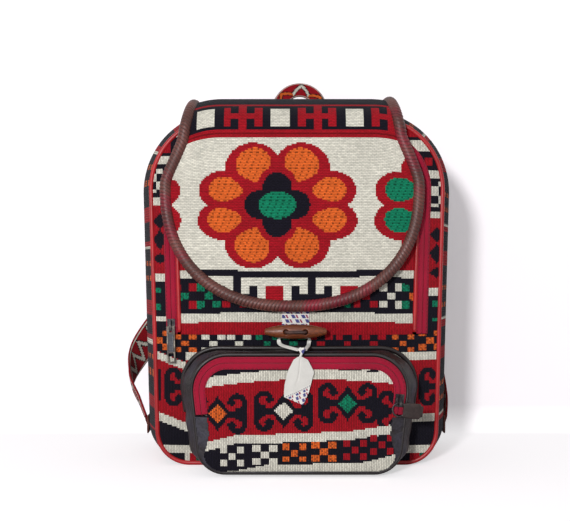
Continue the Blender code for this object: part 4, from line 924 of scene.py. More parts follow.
# %% Zips
def zip_tape_material():
    """Ribbed nylon tape: fine lengthwise ridges crossed by fainter ones, and a soft sheen."""
    g = Graph("zip_tape", Sheen_Weight=0.06, Sheen_Roughness=0.4, Specular_IOR_Level=0.2)
    around, along, _ = g.node("ShaderNodeSeparateXYZ", {0: g.cloth()}).outputs
    ridge = g.math("SINE", g.math("MULTIPLY", around, 2 * math.pi / 0.62))
    cross = g.math("SINE", g.math("MULTIPLY", along, 2 * math.pi / 0.7))
    relief = g.range(g.math("ADD", ridge, g.math("MULTIPLY", cross, 0.5)), -1.5, 1.5, 0, 1)
    wide = g.noise(g.place(), 30.0, 2.0)
    # Painted shade: the colour is darker between the ridges, where the relief is low; the wide noise is
    # random tone.
    shade = g.math("MULTIPLY", g.range(relief, 0, 1, 0.55, 1.1), g.range(wide, 0.3, 0.7, 0.85, 1.1))
    base = g.shaded(tuple(CRIMSON), shade)
    return g.use(Base_Color=base, Roughness=g.range(relief, 0, 1, 0.62, 0.5), Normal=g.bump(relief, 0.0003))


zip_tape = zip_tape_material()


def zip_profile(outer, inner, lift):
    """A flat tape with a low ridge where it is sewn."""
    insets = np.linspace(outer, inner, 9)
    middle = (outer + inner) / 2
    rise = 0.00035 * np.cos(np.pi * (insets - middle) / (inner - outer)) ** 2
    upper = [(i, lift + r) for i, r in zip(insets, rise)]
    return upper[::-1] + [(outer, lift - 0.0008), (inner, lift - 0.0008)]


def coil_teeth(name, outline, surface, inset, floor, node, lift=-0.0002):
    """The coil hidden between the tapes, as a fine zigzag tube."""
    line = even(edge_line(outline, surface, inset, lift, floor, 0.0012), 0.0006)
    left = even(edge_line(outline, surface, inset - 0.0005, lift, floor, 0.0012), 0.0006)[: len(line)]
    line = line[: len(left)]
    away = left - line
    line = line + away * np.where(np.arange(len(line)) % 2, 1.0, -1.0)[:, None]
    return tube(name, line, 0.0004, zip_tape, sides=5, stands_for=[node])


for name, outer, inner in (("outer", 0.0149, 0.0203), ("inner", 0.0207, 0.0264)):
    edge_band("main_zip_" + name + "_band", body_outline, body_front, zip_profile(outer, inner, 0.0007),
              zip_tape, floor=SEAM, stands_for=["main_zip_" + name + "_tape"], stitch=0.001)
coil_teeth("main_zip_teeth", body_outline, body_front, 0.0205, SEAM, "main_zip_coil")


# %% [markdown]
# ## The side wall
#
# A strip of the same kilim goes round the bag. Extruding the outline would give a stiff box, but the
# cloth bulges between its two piped edges. So each row of points is pushed out by half a sine wave,
# and not at all where the bag stands on it.

# %% Side wall
def around_bag(step=0.0025):
    points, away = body_outline.line(0.0012)
    joined = even(np.concatenate([points, away], axis=1), step, closed=True)
    return joined[:, :2], joined[:, 2:] / np.linalg.norm(joined[:, 2:], axis=1)[:, None]


def wall_rows(away, front, back, bulge, columns, top_share):
    """A wall that swells between two edges, flat where it faces down."""
    weight = 1 - np.maximum(0, -away[:, 1]) ** 2 - (1 - top_share) * np.maximum(0, away[:, 1]) ** 2
    share = np.linspace(0, 1, columns)
    push = bulge * weight[:, None] * np.sin(np.pi * share)[None, :]
    rows = front[:, None] * (1 - share)[None, :, None] + back[:, None] * share[None, :, None]
    rows[..., 0] += away[:, 0:1] * push
    rows[..., 2] += away[:, 1:2] * push
    return rows


def paint_wall(depth, run, column):
    """Dark and red blocks across the wall, with checks of orange."""
    x, y = run * 1000, depth * 1000
    colours = plain(x, NAVY)
    place = x % 96
    colours[(place > 12) & (place < 26)] = RED
    colours[(place > 46) & (place < 52)] = RED
    colours[(place > 52) & (place < 55)] = CREAM
    for low in (66, 82):
        row = (place > low) & (place < low + 5.5)
        colours[row & (np.floor(y / 7) % 2 == 0)] = ORANGE
    return loosen(colours, x, y) * chance.normal(1.0, 0.05, (len(x), 1))


WALL_BULGE = 0.014
wall_points, wall_away = around_bag()
wall_front = body_front(wall_points[:, 0], wall_points[:, 1], -0.0026)
wall_back = body_back(wall_points[:, 0], wall_points[:, 1], -0.0026)
rows_piece("side_wall", wall_rows(wall_away, wall_front, wall_back, WALL_BULGE, 53, 1.0),
           body_wool, closed=True, ring=False, paint=paint_wall, stitch=0.0025, turn=True,
           stands_for=["body_gusset"])


# %% [markdown]
# ## The flap
#
# The flap is one cloth that comes from the back seam over the top edge and down the front. Its edge
# is a cord wrapped in leather lace. A cloth simulation could drape it, but would shift the pattern at
# each change. A formula lays the flat cloth over the bag instead, so each stitch keeps its place.

# %% Flap surface
FLAP_CENTRE = -0.005
FLAP_WIDEST = 0.281
FLAP_HALF = 0.132
FLAP_DROP = 0.125
SHOULDER_DROP = 0.016


def shoulder_height(x):
    """Where the flap starts to turn over the bag's top edge."""
    return gusset_top(x, -HALF_DEPTH) - SHOULDER_DROP


SHOULDER = shoulder_height(0.0)
RISE = SHOULDER - FLAP_WIDEST
FLAP_ROUNDNESS = 2.3
OUTER_LIFT = 0.0100
INNER_LIFT = 0.0080


def turn_over(x, share, lift):
    """Over the top: 0 at the front shoulder, 1 at the ridge, 2 at the seam behind."""
    own = shoulder_height(x)
    ridge = gusset_top(x, 0.0) + lift
    angle = np.clip(share, 0, 1) * np.pi / 2
    deep = -body_front(x, own, lift)[..., 1]
    behind = 0.056 * np.clip(share - 1, 0, 1)
    y = np.where(share <= 1, -deep * np.cos(angle) ** 0.8, behind)
    z = np.where(share <= 1, own + (ridge - own) * np.sin(angle) ** 0.8, gusset_top(x, behind) + lift)
    return points_of(x, y, z)


turn_shares = np.linspace(0, 2, 161)
turn_lengths = lengths_along(turn_over(np.full(161, FLAP_CENTRE), turn_shares, 0.0102))


def share_at(v):
    return np.interp(v - SHOULDER, turn_lengths, turn_shares)


def flap_surface(x, v, lift):
    """v is the height on the front up to the shoulder, and the length of cloth beyond it."""
    own = shoulder_height(x)
    stretched = np.where(v > FLAP_WIDEST, FLAP_WIDEST + (v - FLAP_WIDEST) * (own - FLAP_WIDEST) / RISE, v)
    low = body_front(x, np.minimum(stretched, own), lift)
    high = turn_over(x, share_at(v), lift)
    return np.where((v > SHOULDER)[..., None], high, low)


def flap_half(v):
    up = np.where(v < SHOULDER, v - FLAP_WIDEST, RISE + share_at(v) * 0.0425)
    return FLAP_HALF - 0.024 * ease(up / 0.085)


def flap_inside(x, v, margin):
    upper = np.abs(x - FLAP_CENTRE) < flap_half(v) - margin
    reach = (np.abs(x - FLAP_CENTRE) / (FLAP_HALF - margin)) ** FLAP_ROUNDNESS
    reach = reach + (np.maximum(0, FLAP_WIDEST - v) / (FLAP_DROP - margin)) ** FLAP_ROUNDNESS
    return np.where(v > FLAP_WIDEST, upper, reach < 1)


FLAP_END = SHOULDER + turn_lengths[-1]
flap_area = ((-0.14, 0.13), (0.15, FLAP_END - 0.001))
woven("flap_cloth", *flap_area, STITCH,
      lambda x, v: flap_inside(x, v, 0.0105), lambda x, v: flap_surface(x, v, OUTER_LIFT), paint_flap,
      flap_wool, turn=True, stands_for=["flap_panel"])
woven("flap_inner_cloth", *flap_area, 0.003,
      lambda x, v: flap_inside(x, v, 0.0095), lambda x, v: flap_surface(x, v, INNER_LIFT),
      lambda x, v: plain(x, NAVY), navy_cloth, stands_for=["flap_lining"])
print("cloth length of the flap", round(float(FLAP_END - 0.15), 3))


# %% [markdown]
# The flap's edge is a cord wrapped in narrow leather lace. It could be a spiral laid round a cord,
# turn by turn. One tube whose radius rises and falls with each slanting wrap needs far fewer faces,
# and each wrap still gets its own shade of brown or maroon.

# %% Flap edge
def flap_edge_line(margin, lift):
    """From the back seam on the left, down the side, round the bottom and up to the right."""
    down = np.linspace(FLAP_END, FLAP_WIDEST, 160)
    left = flap_surface(FLAP_CENTRE - (flap_half(down) - margin), down, lift)
    right = flap_surface(FLAP_CENTRE + (flap_half(down) - margin), down, lift)
    angle = np.linspace(np.pi, 0, 121)[1:-1]
    u = np.sign(np.cos(angle)) * np.abs(np.cos(angle)) ** (2 / FLAP_ROUNDNESS)
    w = np.sin(angle) ** (2 / FLAP_ROUNDNESS)
    bottom = body_front(FLAP_CENTRE + u * (FLAP_HALF - margin), FLAP_WIDEST - w * (FLAP_DROP - margin), lift)
    return np.concatenate([left, bottom, right[::-1]])


def lace_material():
    """Glossy lace: brown and maroon lengths, with a painted highlight on the crown of each wrap and painted
    shade between wraps.
    """
    g = Graph("binding_leather", Coat_Weight=0.08, Coat_Roughness=0.35, Specular_IOR_Level=0.35)
    shade, wide, fine = g.effect(unevenness, Wide=26.0, Fine=700.0, Depth=0.3)
    return g.use(Base_Color=g.shaded(g.thread(), shade), Roughness=g.range(wide, 0.3, 0.7, 0.42, 0.58),
                 Normal=g.bump(fine, 0.0002, 0.5))


binding_leather = lace_material()
BROWN = srgb(84, 44, 38)
MAROON = srgb(104, 17, 31)
edge_path = even(flap_edge_line(0.006, 0.0088), 0.0006)
edge_run = lengths_along(edge_path)
LACE_PITCH = 0.0038
edge_sides = 22
around = np.arange(edge_sides) / edge_sides
turns = edge_run[:, None] / LACE_PITCH + 0.9 * np.sin(2 * np.pi * (around + 0.12))[None, :]
drift = 0.18 * np.sin(edge_run / 0.031) + 0.12 * np.sin(edge_run / 0.0117)
wraps = turns + drift[:, None]
crest = np.abs(np.sin(np.pi * wraps)) ** 0.7
edge_radius = 0.0054 + 0.0007 * crest


def paint_edge(_, run, column):
    wrap = np.floor(run / LACE_PITCH + 0.9 * np.sin(2 * np.pi * (column / edge_sides + 0.12))).astype(int)
    tone = np.interp(np.sin(wrap * 12.9898) * 0.5 + 0.5, [0, 1], [0.7, 1.15])
    maroon = ease((np.sin(run / 0.034) + 0.5 * np.sin(run / 0.0131 + wrap * 0.5)) * 0.8)
    colours = BROWN + (MAROON - BROWN) * maroon[:, None]
    # Painted highlight and painted shade: each wrap's crown is painted a little lighter and the groove
    # between wraps darker; the tone of each wrap and the maroon lengths are the lace's own.
    painted_groove_shade = np.interp(crest[np.searchsorted(edge_run, run).clip(0, len(edge_run) - 1), column],
                       [0.25, 0.75], [0.38, 1.08])
    return colours * (tone * painted_groove_shade)[:, None]


edge_out = np.tile((0.0, -1.0, 0.0), (len(edge_path), 1))
over_top = edge_path[:, 2] > SHOULDER
tangent = np.gradient(edge_path, axis=0)
side_way = np.sign(edge_path[:, 0:1] - FLAP_CENTRE) * np.array([[1.0, 0.0, 0.0]])
lifted = np.cross(tangent, side_way) * np.sign(edge_path[:, 0:1] - FLAP_CENTRE)
edge_out = np.where(over_top[:, None], lifted / np.linalg.norm(lifted, axis=1)[:, None], edge_out)
edge_out[over_top & (edge_out[:, 1] > 0) & (edge_path[:, 1] < -0.02)] *= -1
rows_piece("flap_lace_binding", tube_rows(edge_path, edge_radius, edge_sides, False, edge_out),
           binding_leather, paint=paint_edge, stitch=0.001, stands_for=["flap_binding"])
print("binding length", round(float(edge_run[-1]), 3))


# %% [markdown]
# ## The front pocket
#
# The pocket has leather sides, dark piping round the woven front, and its own curved zip. It uses the
# helpers of the bag's front on its own outline and surface, so both are made in the same way.

# %% Pocket
woven("pocket_cloth", (-0.115, 0.12), (0.0, 0.12), STITCH,
      lambda x, z: pocket_face_outline.depth(x, z) > np.where(z > 0.0585, 0.0140, 0.0030),
      pocket_front, paint_pocket, body_wool, stands_for=["pocket_panel"])
piping("pocket_edge_piping", pocket_face_outline, pocket_front, 0.0022, -0.0012, 0.0019, dark_vinyl,
       "pocket_piping")
for name, outer, inner in (("outer", 0.0040, 0.0094), ("inner", 0.0098, 0.0155)):
    edge_band("pocket_zip_" + name + "_band", pocket_face_outline, pocket_front,
              zip_profile(outer, inner, 0.0005), zip_tape, floor=0.0598,
              stands_for=["pocket_zip_" + name + "_tape"], stitch=0.001)
coil_teeth("pocket_zip_teeth", pocket_face_outline, pocket_front, 0.0096, 0.0600, "pocket_zip_coil",
           lift=-0.0003)


# %% [markdown]
# The pocket's leather side runs from its piped front back to the bag. The two outlines differ in size,
# and a straight extrusion would miss the bag. Both are walked arc by arc with the same number of
# points, and the leather is spanned between them with a slow ripple.

# %% Pocket sides
def by_corner(outline, count=60):
    """Points round an outline, the same number for each arc and side, so that two outlines pair up."""
    result, directions = [], []
    for i in range(4):
        start = math.atan2(*outline.normals[i - 1][::-1])
        stop = math.atan2(*outline.normals[i][::-1])
        stop += 2 * math.pi if stop < start else 0
        for angle in np.linspace(start, stop, count, endpoint=False):
            directions.append((math.cos(angle), math.sin(angle)))
            result.append(outline.centres[i] + outline.radii[i] * np.array(directions[-1]))
        begin = outline.centres[i] + outline.radii[i] * outline.normals[i]
        goal = outline.centres[(i + 1) % 4] + outline.radii[(i + 1) % 4] * outline.normals[i]
        for share in np.linspace(0, 1, count, endpoint=False):
            result.append(begin + (goal - begin) * share)
            directions.append(tuple(outline.normals[i]))
    return np.array(result), np.array(directions)


face_points, face_away = by_corner(pocket_face_outline)
back_points, _ = by_corner(pocket_back_outline)
pocket_rim = pocket_front(face_points[:, 0], face_points[:, 1], -0.0030)
pocket_root = body_front(back_points[:, 0], back_points[:, 1], 0.0003)
pocket_wall_rows = wall_rows(face_away, pocket_rim, pocket_root, 0.005, 25, 0.2)
ripple = np.sin(np.arange(len(face_points)) * 0.21) * np.sin(np.arange(len(face_points)) * 0.057 + 1)
pocket_wall_rows[:, 3:-3, 0] += (face_away[:, 0] * ripple * 0.0007)[:, None]
pocket_wall_rows[:, 3:-3, 2] += (face_away[:, 1] * ripple * 0.0007)[:, None]
rows_piece("pocket_side_leather", pocket_wall_rows, pocket_leather, closed=True, ring=False,
           stands_for=["pocket_gusset"])
welt_line = edge_line(pocket_back_outline, body_front, -0.0030, 0.0027, 0.056, 0.0012)
tube("pocket_back_welt", even(welt_line, 0.003), 0.0024, dark_vinyl, sides=12, stands_for=["pocket_welt"])


# %% [markdown]
# Below the ends of its zip the pocket's leather comes round onto the front, and narrows towards the
# bottom. It is one thin piece that lies on the woven front.
# It could be part of the side's mesh. As a sheet of its own it takes its width from one formula.

# %% Leather on the pocket's front
def on_leather(x, z):
    depth = pocket_face_outline.depth(x, z)
    reach = 0.0040 + 0.0105 * ease((z - 0.010) / 0.035) * ease((np.abs(x - 0.002) - 0.055) / 0.03)
    return (z < 0.0576) & (depth > 0.0030) & (depth < reach)


woven("pocket_front_leather", (-0.115, 0.12), (0.0, 0.0605), 0.0010, on_leather,
      lambda x, z: pocket_front(x, z, 0.0007), lambda x, z: plain(x, NAVY), pocket_leather)


# %% [markdown]
# ## Bands, slabs and stitches
#
# Straps, tabs and the handle are flat bands with soft edges that follow a line. `band_rows` sweeps
# such a section, and `stitches` lays short lengths of thread on a surface.

# %% Band and stitches
def unit(rows):
    return rows / np.linalg.norm(rows, axis=-1, keepdims=True)


def band_profile(column, columns=44):
    """Where a column lies across the band, from 1 at one edge to -1 at the other and back."""
    return np.abs(2 * np.asarray(column) / columns - 1) * 2 - 1


def band_rows(path, outward, width, thick, columns=44, narrow=None):
    """Flat sections with soft edges along a path. outward is the way the band's face looks."""
    path = np.asarray(path, float)
    along = unit(np.gradient(path, axis=0))
    outward = np.broadcast_to(np.asarray(outward, float), along.shape)
    outward = unit(outward - along * np.sum(outward * along, axis=1)[:, None])
    side = np.cross(along, outward)
    flat = band_profile(np.arange(columns), columns)
    high = (1 - flat ** 8) ** 0.5 * np.where(np.arange(columns) < columns / 2, 1, -1)
    share = np.ones(len(path)) if narrow is None else narrow
    wide = side[:, None] * (flat * width / 2)[None, :, None] * share[:, None, None]
    return path[:, None] + wide + outward[:, None] * (high * thick / 2)[None, :, None]


# %% Stitches
def stitches(name, line, outward, material, length=0.0026, gap=0.0013, radius=0.00028, body="bag"):
    """A row of threads along a line, each bowed up out of the cloth."""
    run = lengths_along(line)
    starts = np.arange(gap, run[-1] - length, length + gap)
    spots = starts[:, None] + length * np.array([0.0, 0.12, 0.5, 0.88, 1.0])[None, :]
    middle = np.stack([np.interp(spots, run, line[:, k]) for k in range(3)], axis=-1)
    facing = np.broadcast_to(np.asarray(outward, float), line.shape)
    out = unit(np.stack([np.interp(spots, run, facing[:, k]) for k in range(3)], axis=-1))
    along = unit(middle[:, -1:] - middle[:, :1]) * np.ones((1, 5, 1))
    side = np.cross(along, out)
    angle = np.arange(6) * np.pi / 3
    thick = radius * np.array([0.05, 0.8, 1.0, 0.8, 0.05])
    middle = middle + out * (radius * np.array([-0.6, 0.1, 0.4, 0.1, -0.6]))[None, :, None]
    turned = angle[None, None, :, None]
    ring = out[:, :, None] * np.cos(turned) + side[:, :, None] * np.sin(turned)
    points = middle[:, :, None] + ring * thick[None, :, None, None]
    faces = grid_faces(5, 6, wrap_columns=True)[None] + 30 * np.arange(len(starts))[:, None, None]
    return piece(name, points, faces.reshape(-1, 4)[:, ::-1], material, body=body)


def thread_material(name, colour):
    """Waxed thread: a fine twist along its length, a little uneven."""
    g = Graph(name, Sheen_Weight=0.1, Specular_IOR_Level=0.3)
    shade, wide, fine = g.effect(unevenness, Wide=90.0, Fine=3200.0, Depth=0.3)
    return g.use(Base_Color=g.shaded(tuple(colour), shade), Roughness=g.range(wide, 0.3, 0.7, 0.6, 0.8),
                 Normal=g.bump(fine, 0.0001))


crimson_thread = thread_material("crimson_thread", CRIMSON * 0.3)
cream_thread = thread_material("cream_thread", CREAM)
dark_thread = thread_material("dark_thread", srgb(58, 34, 30))
FRONT = (0.0, -1.0, 0.0)
for name, inset in (("outer", 0.0160), ("inner", 0.0252)):
    seam = edge_line(body_outline, body_front, inset, 0.0010, SEAM)
    stitches("main_zip_" + name + "_stitches", seam, FRONT, crimson_thread)
for name, inset in (("outer", 0.0054), ("inner", 0.0143)):
    seam = edge_line(pocket_face_outline, pocket_front, inset, 0.0008, 0.0605)
    stitches("pocket_zip_" + name + "_stitches", seam, FRONT, crimson_thread)


# %% [markdown]
# ## The back
#
# The back panel is thin foam between two cloths, quilted in diamonds. It stays flat where the straps,
# the patch and the handle are sewn on, and puffs up a little below them.
# A bump could fake the quilting, but from the side it would be flat, so the points themselves rise
# between the seams.

# %% Back panel
def half_width(height, inset):
    """Half the width of the bag's outline at a height, a little inside its edge."""
    x = np.linspace(0, 0.16, 801)
    return x[body_outline.depth(x, np.full(801, height)) > inset][-1]


def back_rows():
    heights = np.linspace(0.0046, BODY_TOP - 0.0046, 150)
    widths = np.array([half_width(h, 0.0042) for h in heights])
    share = np.linspace(-1, 1, 121)
    x = widths[:, None] * share[None, :]
    z = heights[:, None] + 0 * x
    cells = np.minimum(np.abs((x + z) % 0.052 - 0.026), np.abs((x - z) % 0.052 - 0.026))
    puff = 0.0038 * ease((0.292 - z) / 0.03) * ease(body_outline.depth(x, z) / 0.02)
    outer = body_back(x, z, 0.0006 + puff * (1 - np.exp(-(cells / 0.006) ** 2)))
    inner = body_back(x, z, -0.0010)
    return np.concatenate([outer, inner[:, ::-1]], axis=1)


back_cloth = plain_cloth("back_cloth", srgb(32, 30, 42), 0.0013, 0.0004)
back = rows_piece("quilted_back", back_rows(), back_cloth, stands_for=["back_panel"])
print("points of the back panel", len(back.data.vertices))


# %% [markdown]
# A stiff board keeps the bottom flat, and only its edge can be seen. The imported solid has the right
# shape already, so it keeps it and gets a matt fibre finish and slightly rounded edges.

# %% Board under the bag
def board_material():
    """Stiff fibre board, matt, with short fibres and scuffs."""
    g = Graph("board", Specular_IOR_Level=0.25)
    shade, wide, fine = g.effect(unevenness, Wide=50.0, Fine=1400.0, Depth=0.5)
    return g.use(Base_Color=g.shaded(tuple(srgb(60, 54, 48)), shade),
                 Roughness=g.range(wide, 0.3, 0.7, 0.7, 0.9), Normal=g.bump(fine, 0.0003))


def refinish(node, material, soften=None):
    """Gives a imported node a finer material, and rounds its sharp edges a little."""
    shown = nodes[node]
    shown.data.materials.clear()
    shown.data.materials.append(material)
    if soften:
        bevel = shown.modifiers.new("soften", "BEVEL")
        bevel.width = soften
        bevel.segments = 2
        bevel.limit_method = "ANGLE"
    return shown


refinish("base_board", board_material(), 0.0006)


# %% [markdown]
# The patch over the strap ends, the tabs at the lower ends and the pocket's pull tab are leather with
# a line of stitches just inside the edge.
# A painted line would do from afar. Thread catches the light, so each stitch is a short bowed tube.

# %% Patch and tabs
patch_leather = leather("patch_leather", srgb(92, 50, 40), srgb(122, 74, 60), 520.0, 0.45, 0.8)
low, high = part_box("strap_patch")
patch_x = np.linspace(low[0], high[0], 90)
patch_path = body_back(patch_x, (low[2] + high[2]) / 2, 0.0062)
rows_piece("strap_end_patch", band_rows(patch_path, (0, 1, 0), high[2] - low[2], 0.0020), patch_leather,
           stands_for=["strap_patch"])
for edge in (low[2] + 0.0028, high[2] - 0.0028):
    line = body_back(patch_x[2:-2], edge, 0.0073)
    stitches("patch_stitches_" + str(round(edge * 1000)), line, (0, 1, 0), cream_thread)
for name, side in (("left", -1.0), ("right", 1.0)):
    low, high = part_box(name + "_strap_tab")
    middle = (low + high) / 2
    path = np.linspace((middle[0], low[1], middle[2]), (middle[0], high[1], middle[2]), 30)
    rows_piece(name + "_leather_tab", band_rows(path, (side, 0, 0), high[2] - low[2], high[0] - low[0]),
               patch_leather, stands_for=[name + "_strap_tab"])


# %% [markdown]
# The shoulder straps are heavy woven bands, red with a cream zigzag between dark lines. They hang
# behind the bag from the patch and come round to the lower tabs. A curve with a bevel could carry
# them, but would twist where they turn, so the way the face looks is given all along the route.

# %% Straps
def smooth_route(points, steps=10):
    """A smooth line through points."""
    points = np.asarray(points, float)
    padded = np.concatenate([2 * points[:1] - points[1:2], points, 2 * points[-1:] - points[-2:-1]])
    route = []
    for i in range(1, len(padded) - 2):
        a, b, c, d = padded[i - 1:i + 3]
        for t in np.arange(steps) / steps:
            route.append(0.5 * (2 * b + (c - a) * t + (2 * a - 5 * b + 4 * c - d) * t ** 2
                                + (3 * b - a - 3 * c + d) * t ** 3))
    return np.array(route + [points[-1]])


def paint_zigzag(_, run, column, pitch=0.021, second=CREAM, foot=0.0):
    """A cream zigzag with dark edges on a red band, and teal threads at its foot."""
    across = band_profile(column + 0.5)
    place = np.abs((run / pitch) % 1 * 2 - 1) * 1.1 - 0.55
    off = across - place
    colours = plain(run, RED)
    colours[np.abs(off) < 0.36] = NAVY
    colours[np.abs(off) < 0.22] = CREAM
    colours[np.abs(np.abs(across) - 0.86) < 0.06] = CREAM
    swapped = (np.abs(off) < 0.22) & (np.floor(run / pitch) % 2 == 1)
    colours[swapped] = second
    colours[(run < foot) & (np.abs(across) < 0.7) & (np.floor(run / 0.004) % 2 == 0)] = GREEN
    return colours * chance.normal(1.0, 0.06, (len(run), 1))


# %% Hang the straps
strap_points = [(0.055, 0.0694, 0.337), (0.056, 0.0703, 0.325), (0.058, 0.073, 0.301), (0.069, 0.085, 0.273),
                (0.091, 0.089, 0.237), (0.113, 0.093, 0.201), (0.135, 0.097, 0.165)]
strap_ends = {"left": [(0.1776, 0.0708, 0.106), (0.1856, 0.0403, 0.076), (0.1716, 0.0195, 0.050),
                       (0.1617, 0.006, 0.0315)],
              "right": [(0.1596, 0.0708, 0.106), (0.1636, 0.0403, 0.076), (0.1646, 0.0195, 0.050),
                        (0.1617, 0.006, 0.0315)]}
strap_faces = [(0, 1, 0)] * 7 + [(0.7, 0.7, 0)] + [(1, 0, 0)] * 3
for name, side in (("left", -1.0), ("right", 1.0)):
    mirror = np.array([side, 1.0, 1.0])
    route = smooth_route(np.array(strap_points + strap_ends[name]) * mirror)
    steps = np.linspace(0, len(strap_faces) - 1, len(route))
    known = range(len(strap_faces))
    facing = np.stack([np.interp(steps, known, np.array(strap_faces)[:, k]) for k in range(3)], axis=1)
    run = lengths_along(route)
    length = run[-1]
    both = np.concatenate([route, facing], axis=1)
    dense = np.stack([np.interp(np.linspace(0, length, 260), run, both[:, k]) for k in range(6)], axis=1)
    rows = band_rows(dense[:, :3], dense[:, 3:] * mirror, 0.034, 0.003)
    made = rows_piece(name + "_woven_strap", rows, strap_wool, paint=paint_zigzag, stitch=0.0016,
                      stands_for=[name + "_shoulder_strap"])
    print(name, "strap length", round(float(length), 3))


# %% [markdown]
# The grab handle is the strap's band bent into an arch, with its feet on the back panel. A curve with
# a bevel would twist at the bend. A path with a fixed outward direction keeps the face to the front.

# %% Handle
arch = np.linspace(math.pi, 0, 60)
handle_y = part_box("top_handle")[0][1] + 0.003
handle_path = np.concatenate([
    np.linspace((-0.019, handle_y, 0.3395), (-0.019, handle_y, 0.3800), 24),
    np.stack([0.005 + 0.024 * np.cos(arch), np.full(60, handle_y), 0.381 + 0.024 * np.sin(arch)], axis=1),
    np.linspace((0.029, handle_y, 0.3800), (0.029, handle_y, 0.3395), 24)])
handle_path = even(handle_path, 0.0012)
print("handle length", round(float(lengths_along(handle_path)[-1]), 3))
rows_piece("woven_handle", band_rows(handle_path, FRONT, 0.016, 0.0058), strap_wool,
           paint=lambda a, r, c: paint_zigzag(a, r, c, 0.015, ORANGE, 0.012), stitch=0.0013,
           stands_for=["top_handle"])


# %% [markdown]
# A strip of binding covers the seam where the flap meets the bag. It follows the round top of the bag,
# so its path takes the height of the bag's top at each point.

# %% Strip behind the flap
low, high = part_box("flap_seam_strip")
strip_x = np.linspace(low[0], high[0], 120)
strip_z = gusset_top(strip_x, (low[1] + high[1]) / 2) + 0.0052
strip_path = points_of(strip_x, (low[1] + high[1]) / 2, strip_z)
rows_piece("seam_binding", band_rows(strip_path, (0, 1, 0), 0.0098, high[1] - low[1]), navy_cloth,
           stands_for=["flap_seam_strip"])
stitches("seam_stitches", strip_path[2:-2] + (0, (high[1] - low[1]) / 2, 0), (0, 1, 0), cream_thread)


# %% [markdown]
# ## Metal
#
# The sliders, the pull, the ring and the strap adjusters are dark plated metal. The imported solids
# keep their shape and get a worn finish, and the pull gets a ribbed inset face.
# Modelling them again would gain nothing, so a small bevel and a material are all that they need.

# %% Dark metal
def metal(name, colour, worn, rough=0.34):
    """Plated metal with fine scratches, brighter where it rubs."""
    g = Graph(name, Metallic=0.85)
    shade, wide, fine = g.effect(unevenness, Wide=140.0, Fine=1500.0, Depth=0.3)
    scratch, = g.effect(scratches, Fine=5200.0, Squeeze=0.08)
    rubbed = g.range(g.math("ADD", wide, g.math("MULTIPLY", scratch, 0.3)), 0.62, 0.82, 0, 1)
    base = g.mix(rubbed, tuple(colour) + (1.0,), tuple(worn) + (1.0,))
    gloss = g.range(scratch, 0.3, 0.7, rough - 0.06, rough + 0.12)
    return g.use(Base_Color=g.shaded(base, shade), Roughness=gloss,
                 Normal=g.bump(g.math("ADD", fine, scratch), 0.00008))


dark_metal = metal("dark_metal", srgb(54, 52, 56), srgb(98, 92, 88))
pull_metal = metal("pull_metal", srgb(82, 76, 72), srgb(132, 124, 114), 0.32)
metal_nodes = ("main_zip_slider", "pocket_zip_slider", "left_strap_adjuster", "right_strap_adjuster")
for node in metal_nodes:
    refinish(node, dark_metal, 0.0003)
refinish("main_zip_pull", pull_metal, 0.0003)
print("refinished in metal:", *metal_nodes, "main_zip_pull")


# %% [markdown]
# The long pull has a blue-grey inset with fine cross ribs. A bump could fake the ribs, but they catch
# the light at the pull's edge, so they are real. The inset lies in the pull's own directions.

# %% Pull's inset face
pull_spot = np.array((-0.126398, -0.074761, 0.140383))
pull_out = np.array((-0.2363, -0.971658, -0.006517))
pull_up = np.array((-0.026827, -0.000181, 0.99964))


def inset_material():
    """Blue-grey enamel in the pull's face."""
    g = Graph("inset_enamel", Coat_Weight=0.2, Coat_Roughness=0.25)
    shade, wide, fine = g.effect(unevenness, Wide=200.0, Fine=1800.0, Depth=0.3)
    return g.use(Base_Color=g.shaded(tuple(srgb(40, 43, 52)), shade),
                 Roughness=g.range(wide, 0.3, 0.7, 0.3, 0.5), Normal=g.bump(fine, 0.0001))


ribs = np.linspace(-0.0245, -0.0072, 140)
rise = 0.00075 + 0.00025 * np.abs(np.sin(ribs * math.pi / 0.0017))
rib_path = pull_spot + ribs[:, None] * pull_up + (rise / 2 + 0.0006)[:, None] * pull_out
inset = band_rows(rib_path, pull_out, 0.0058, 0.0007)
rows_piece("pull_inset", inset, inset_material(), body="main_pull")


# %% [markdown]
# A ring through the slider holds a folded leather tab. Both hang a little askew, so they are built in
# the pull's own frame, with one direction across, one out from the bag and one up, and turn as one.

# %% Pocket pull
def in_pocket_frame(across, out, up):
    spot = np.array((0.096826, -0.122665, 0.071926))
    axes = np.array([(0.979995, 0.158046, -0.120958), (0.159691, -0.987159, 0.003964),
                     (0.118779, 0.023201, 0.99265)])
    return spot + np.stack(np.broadcast_arrays(across, out, up), axis=-1) @ axes


RING_RADIUS = 0.0064
pocket_out = in_pocket_frame(0, 1, 0) - in_pocket_frame(0, 0, 0)
turn = np.linspace(0, 2 * math.pi, 64, endpoint=False)
ring_path = in_pocket_frame(RING_RADIUS * np.sin(turn), 0.0, -RING_RADIUS + RING_RADIUS * np.cos(turn))
tube("pull_ring", ring_path, 0.0008, dark_metal, sides=12, closed=True, out=pocket_out, body="pocket_pull",
     stands_for=["pocket_pull_ring"])
tab_leather = leather("tab_leather", srgb(44, 34, 32), srgb(72, 58, 56), 600.0, 0.45, 0.9)
tab_run = np.linspace(-0.0021, 0.017, 50)
tab_path = in_pocket_frame(RING_RADIUS + tab_run, 0.0004 * np.sin(tab_run / 0.004), -RING_RADIUS)
tab_narrow = 1 - 0.30 * ease((tab_run - 0.0135) / 0.0025) - 0.12 * ease((0.001 - tab_run) / 0.003)
tab_rows = band_rows(tab_path, pocket_out, 0.0148, 0.0021, narrow=tab_narrow)
rows_piece("leather_pull_tab", tab_rows, tab_leather, body="pocket_pull", stands_for=["pocket_pull_tab"])
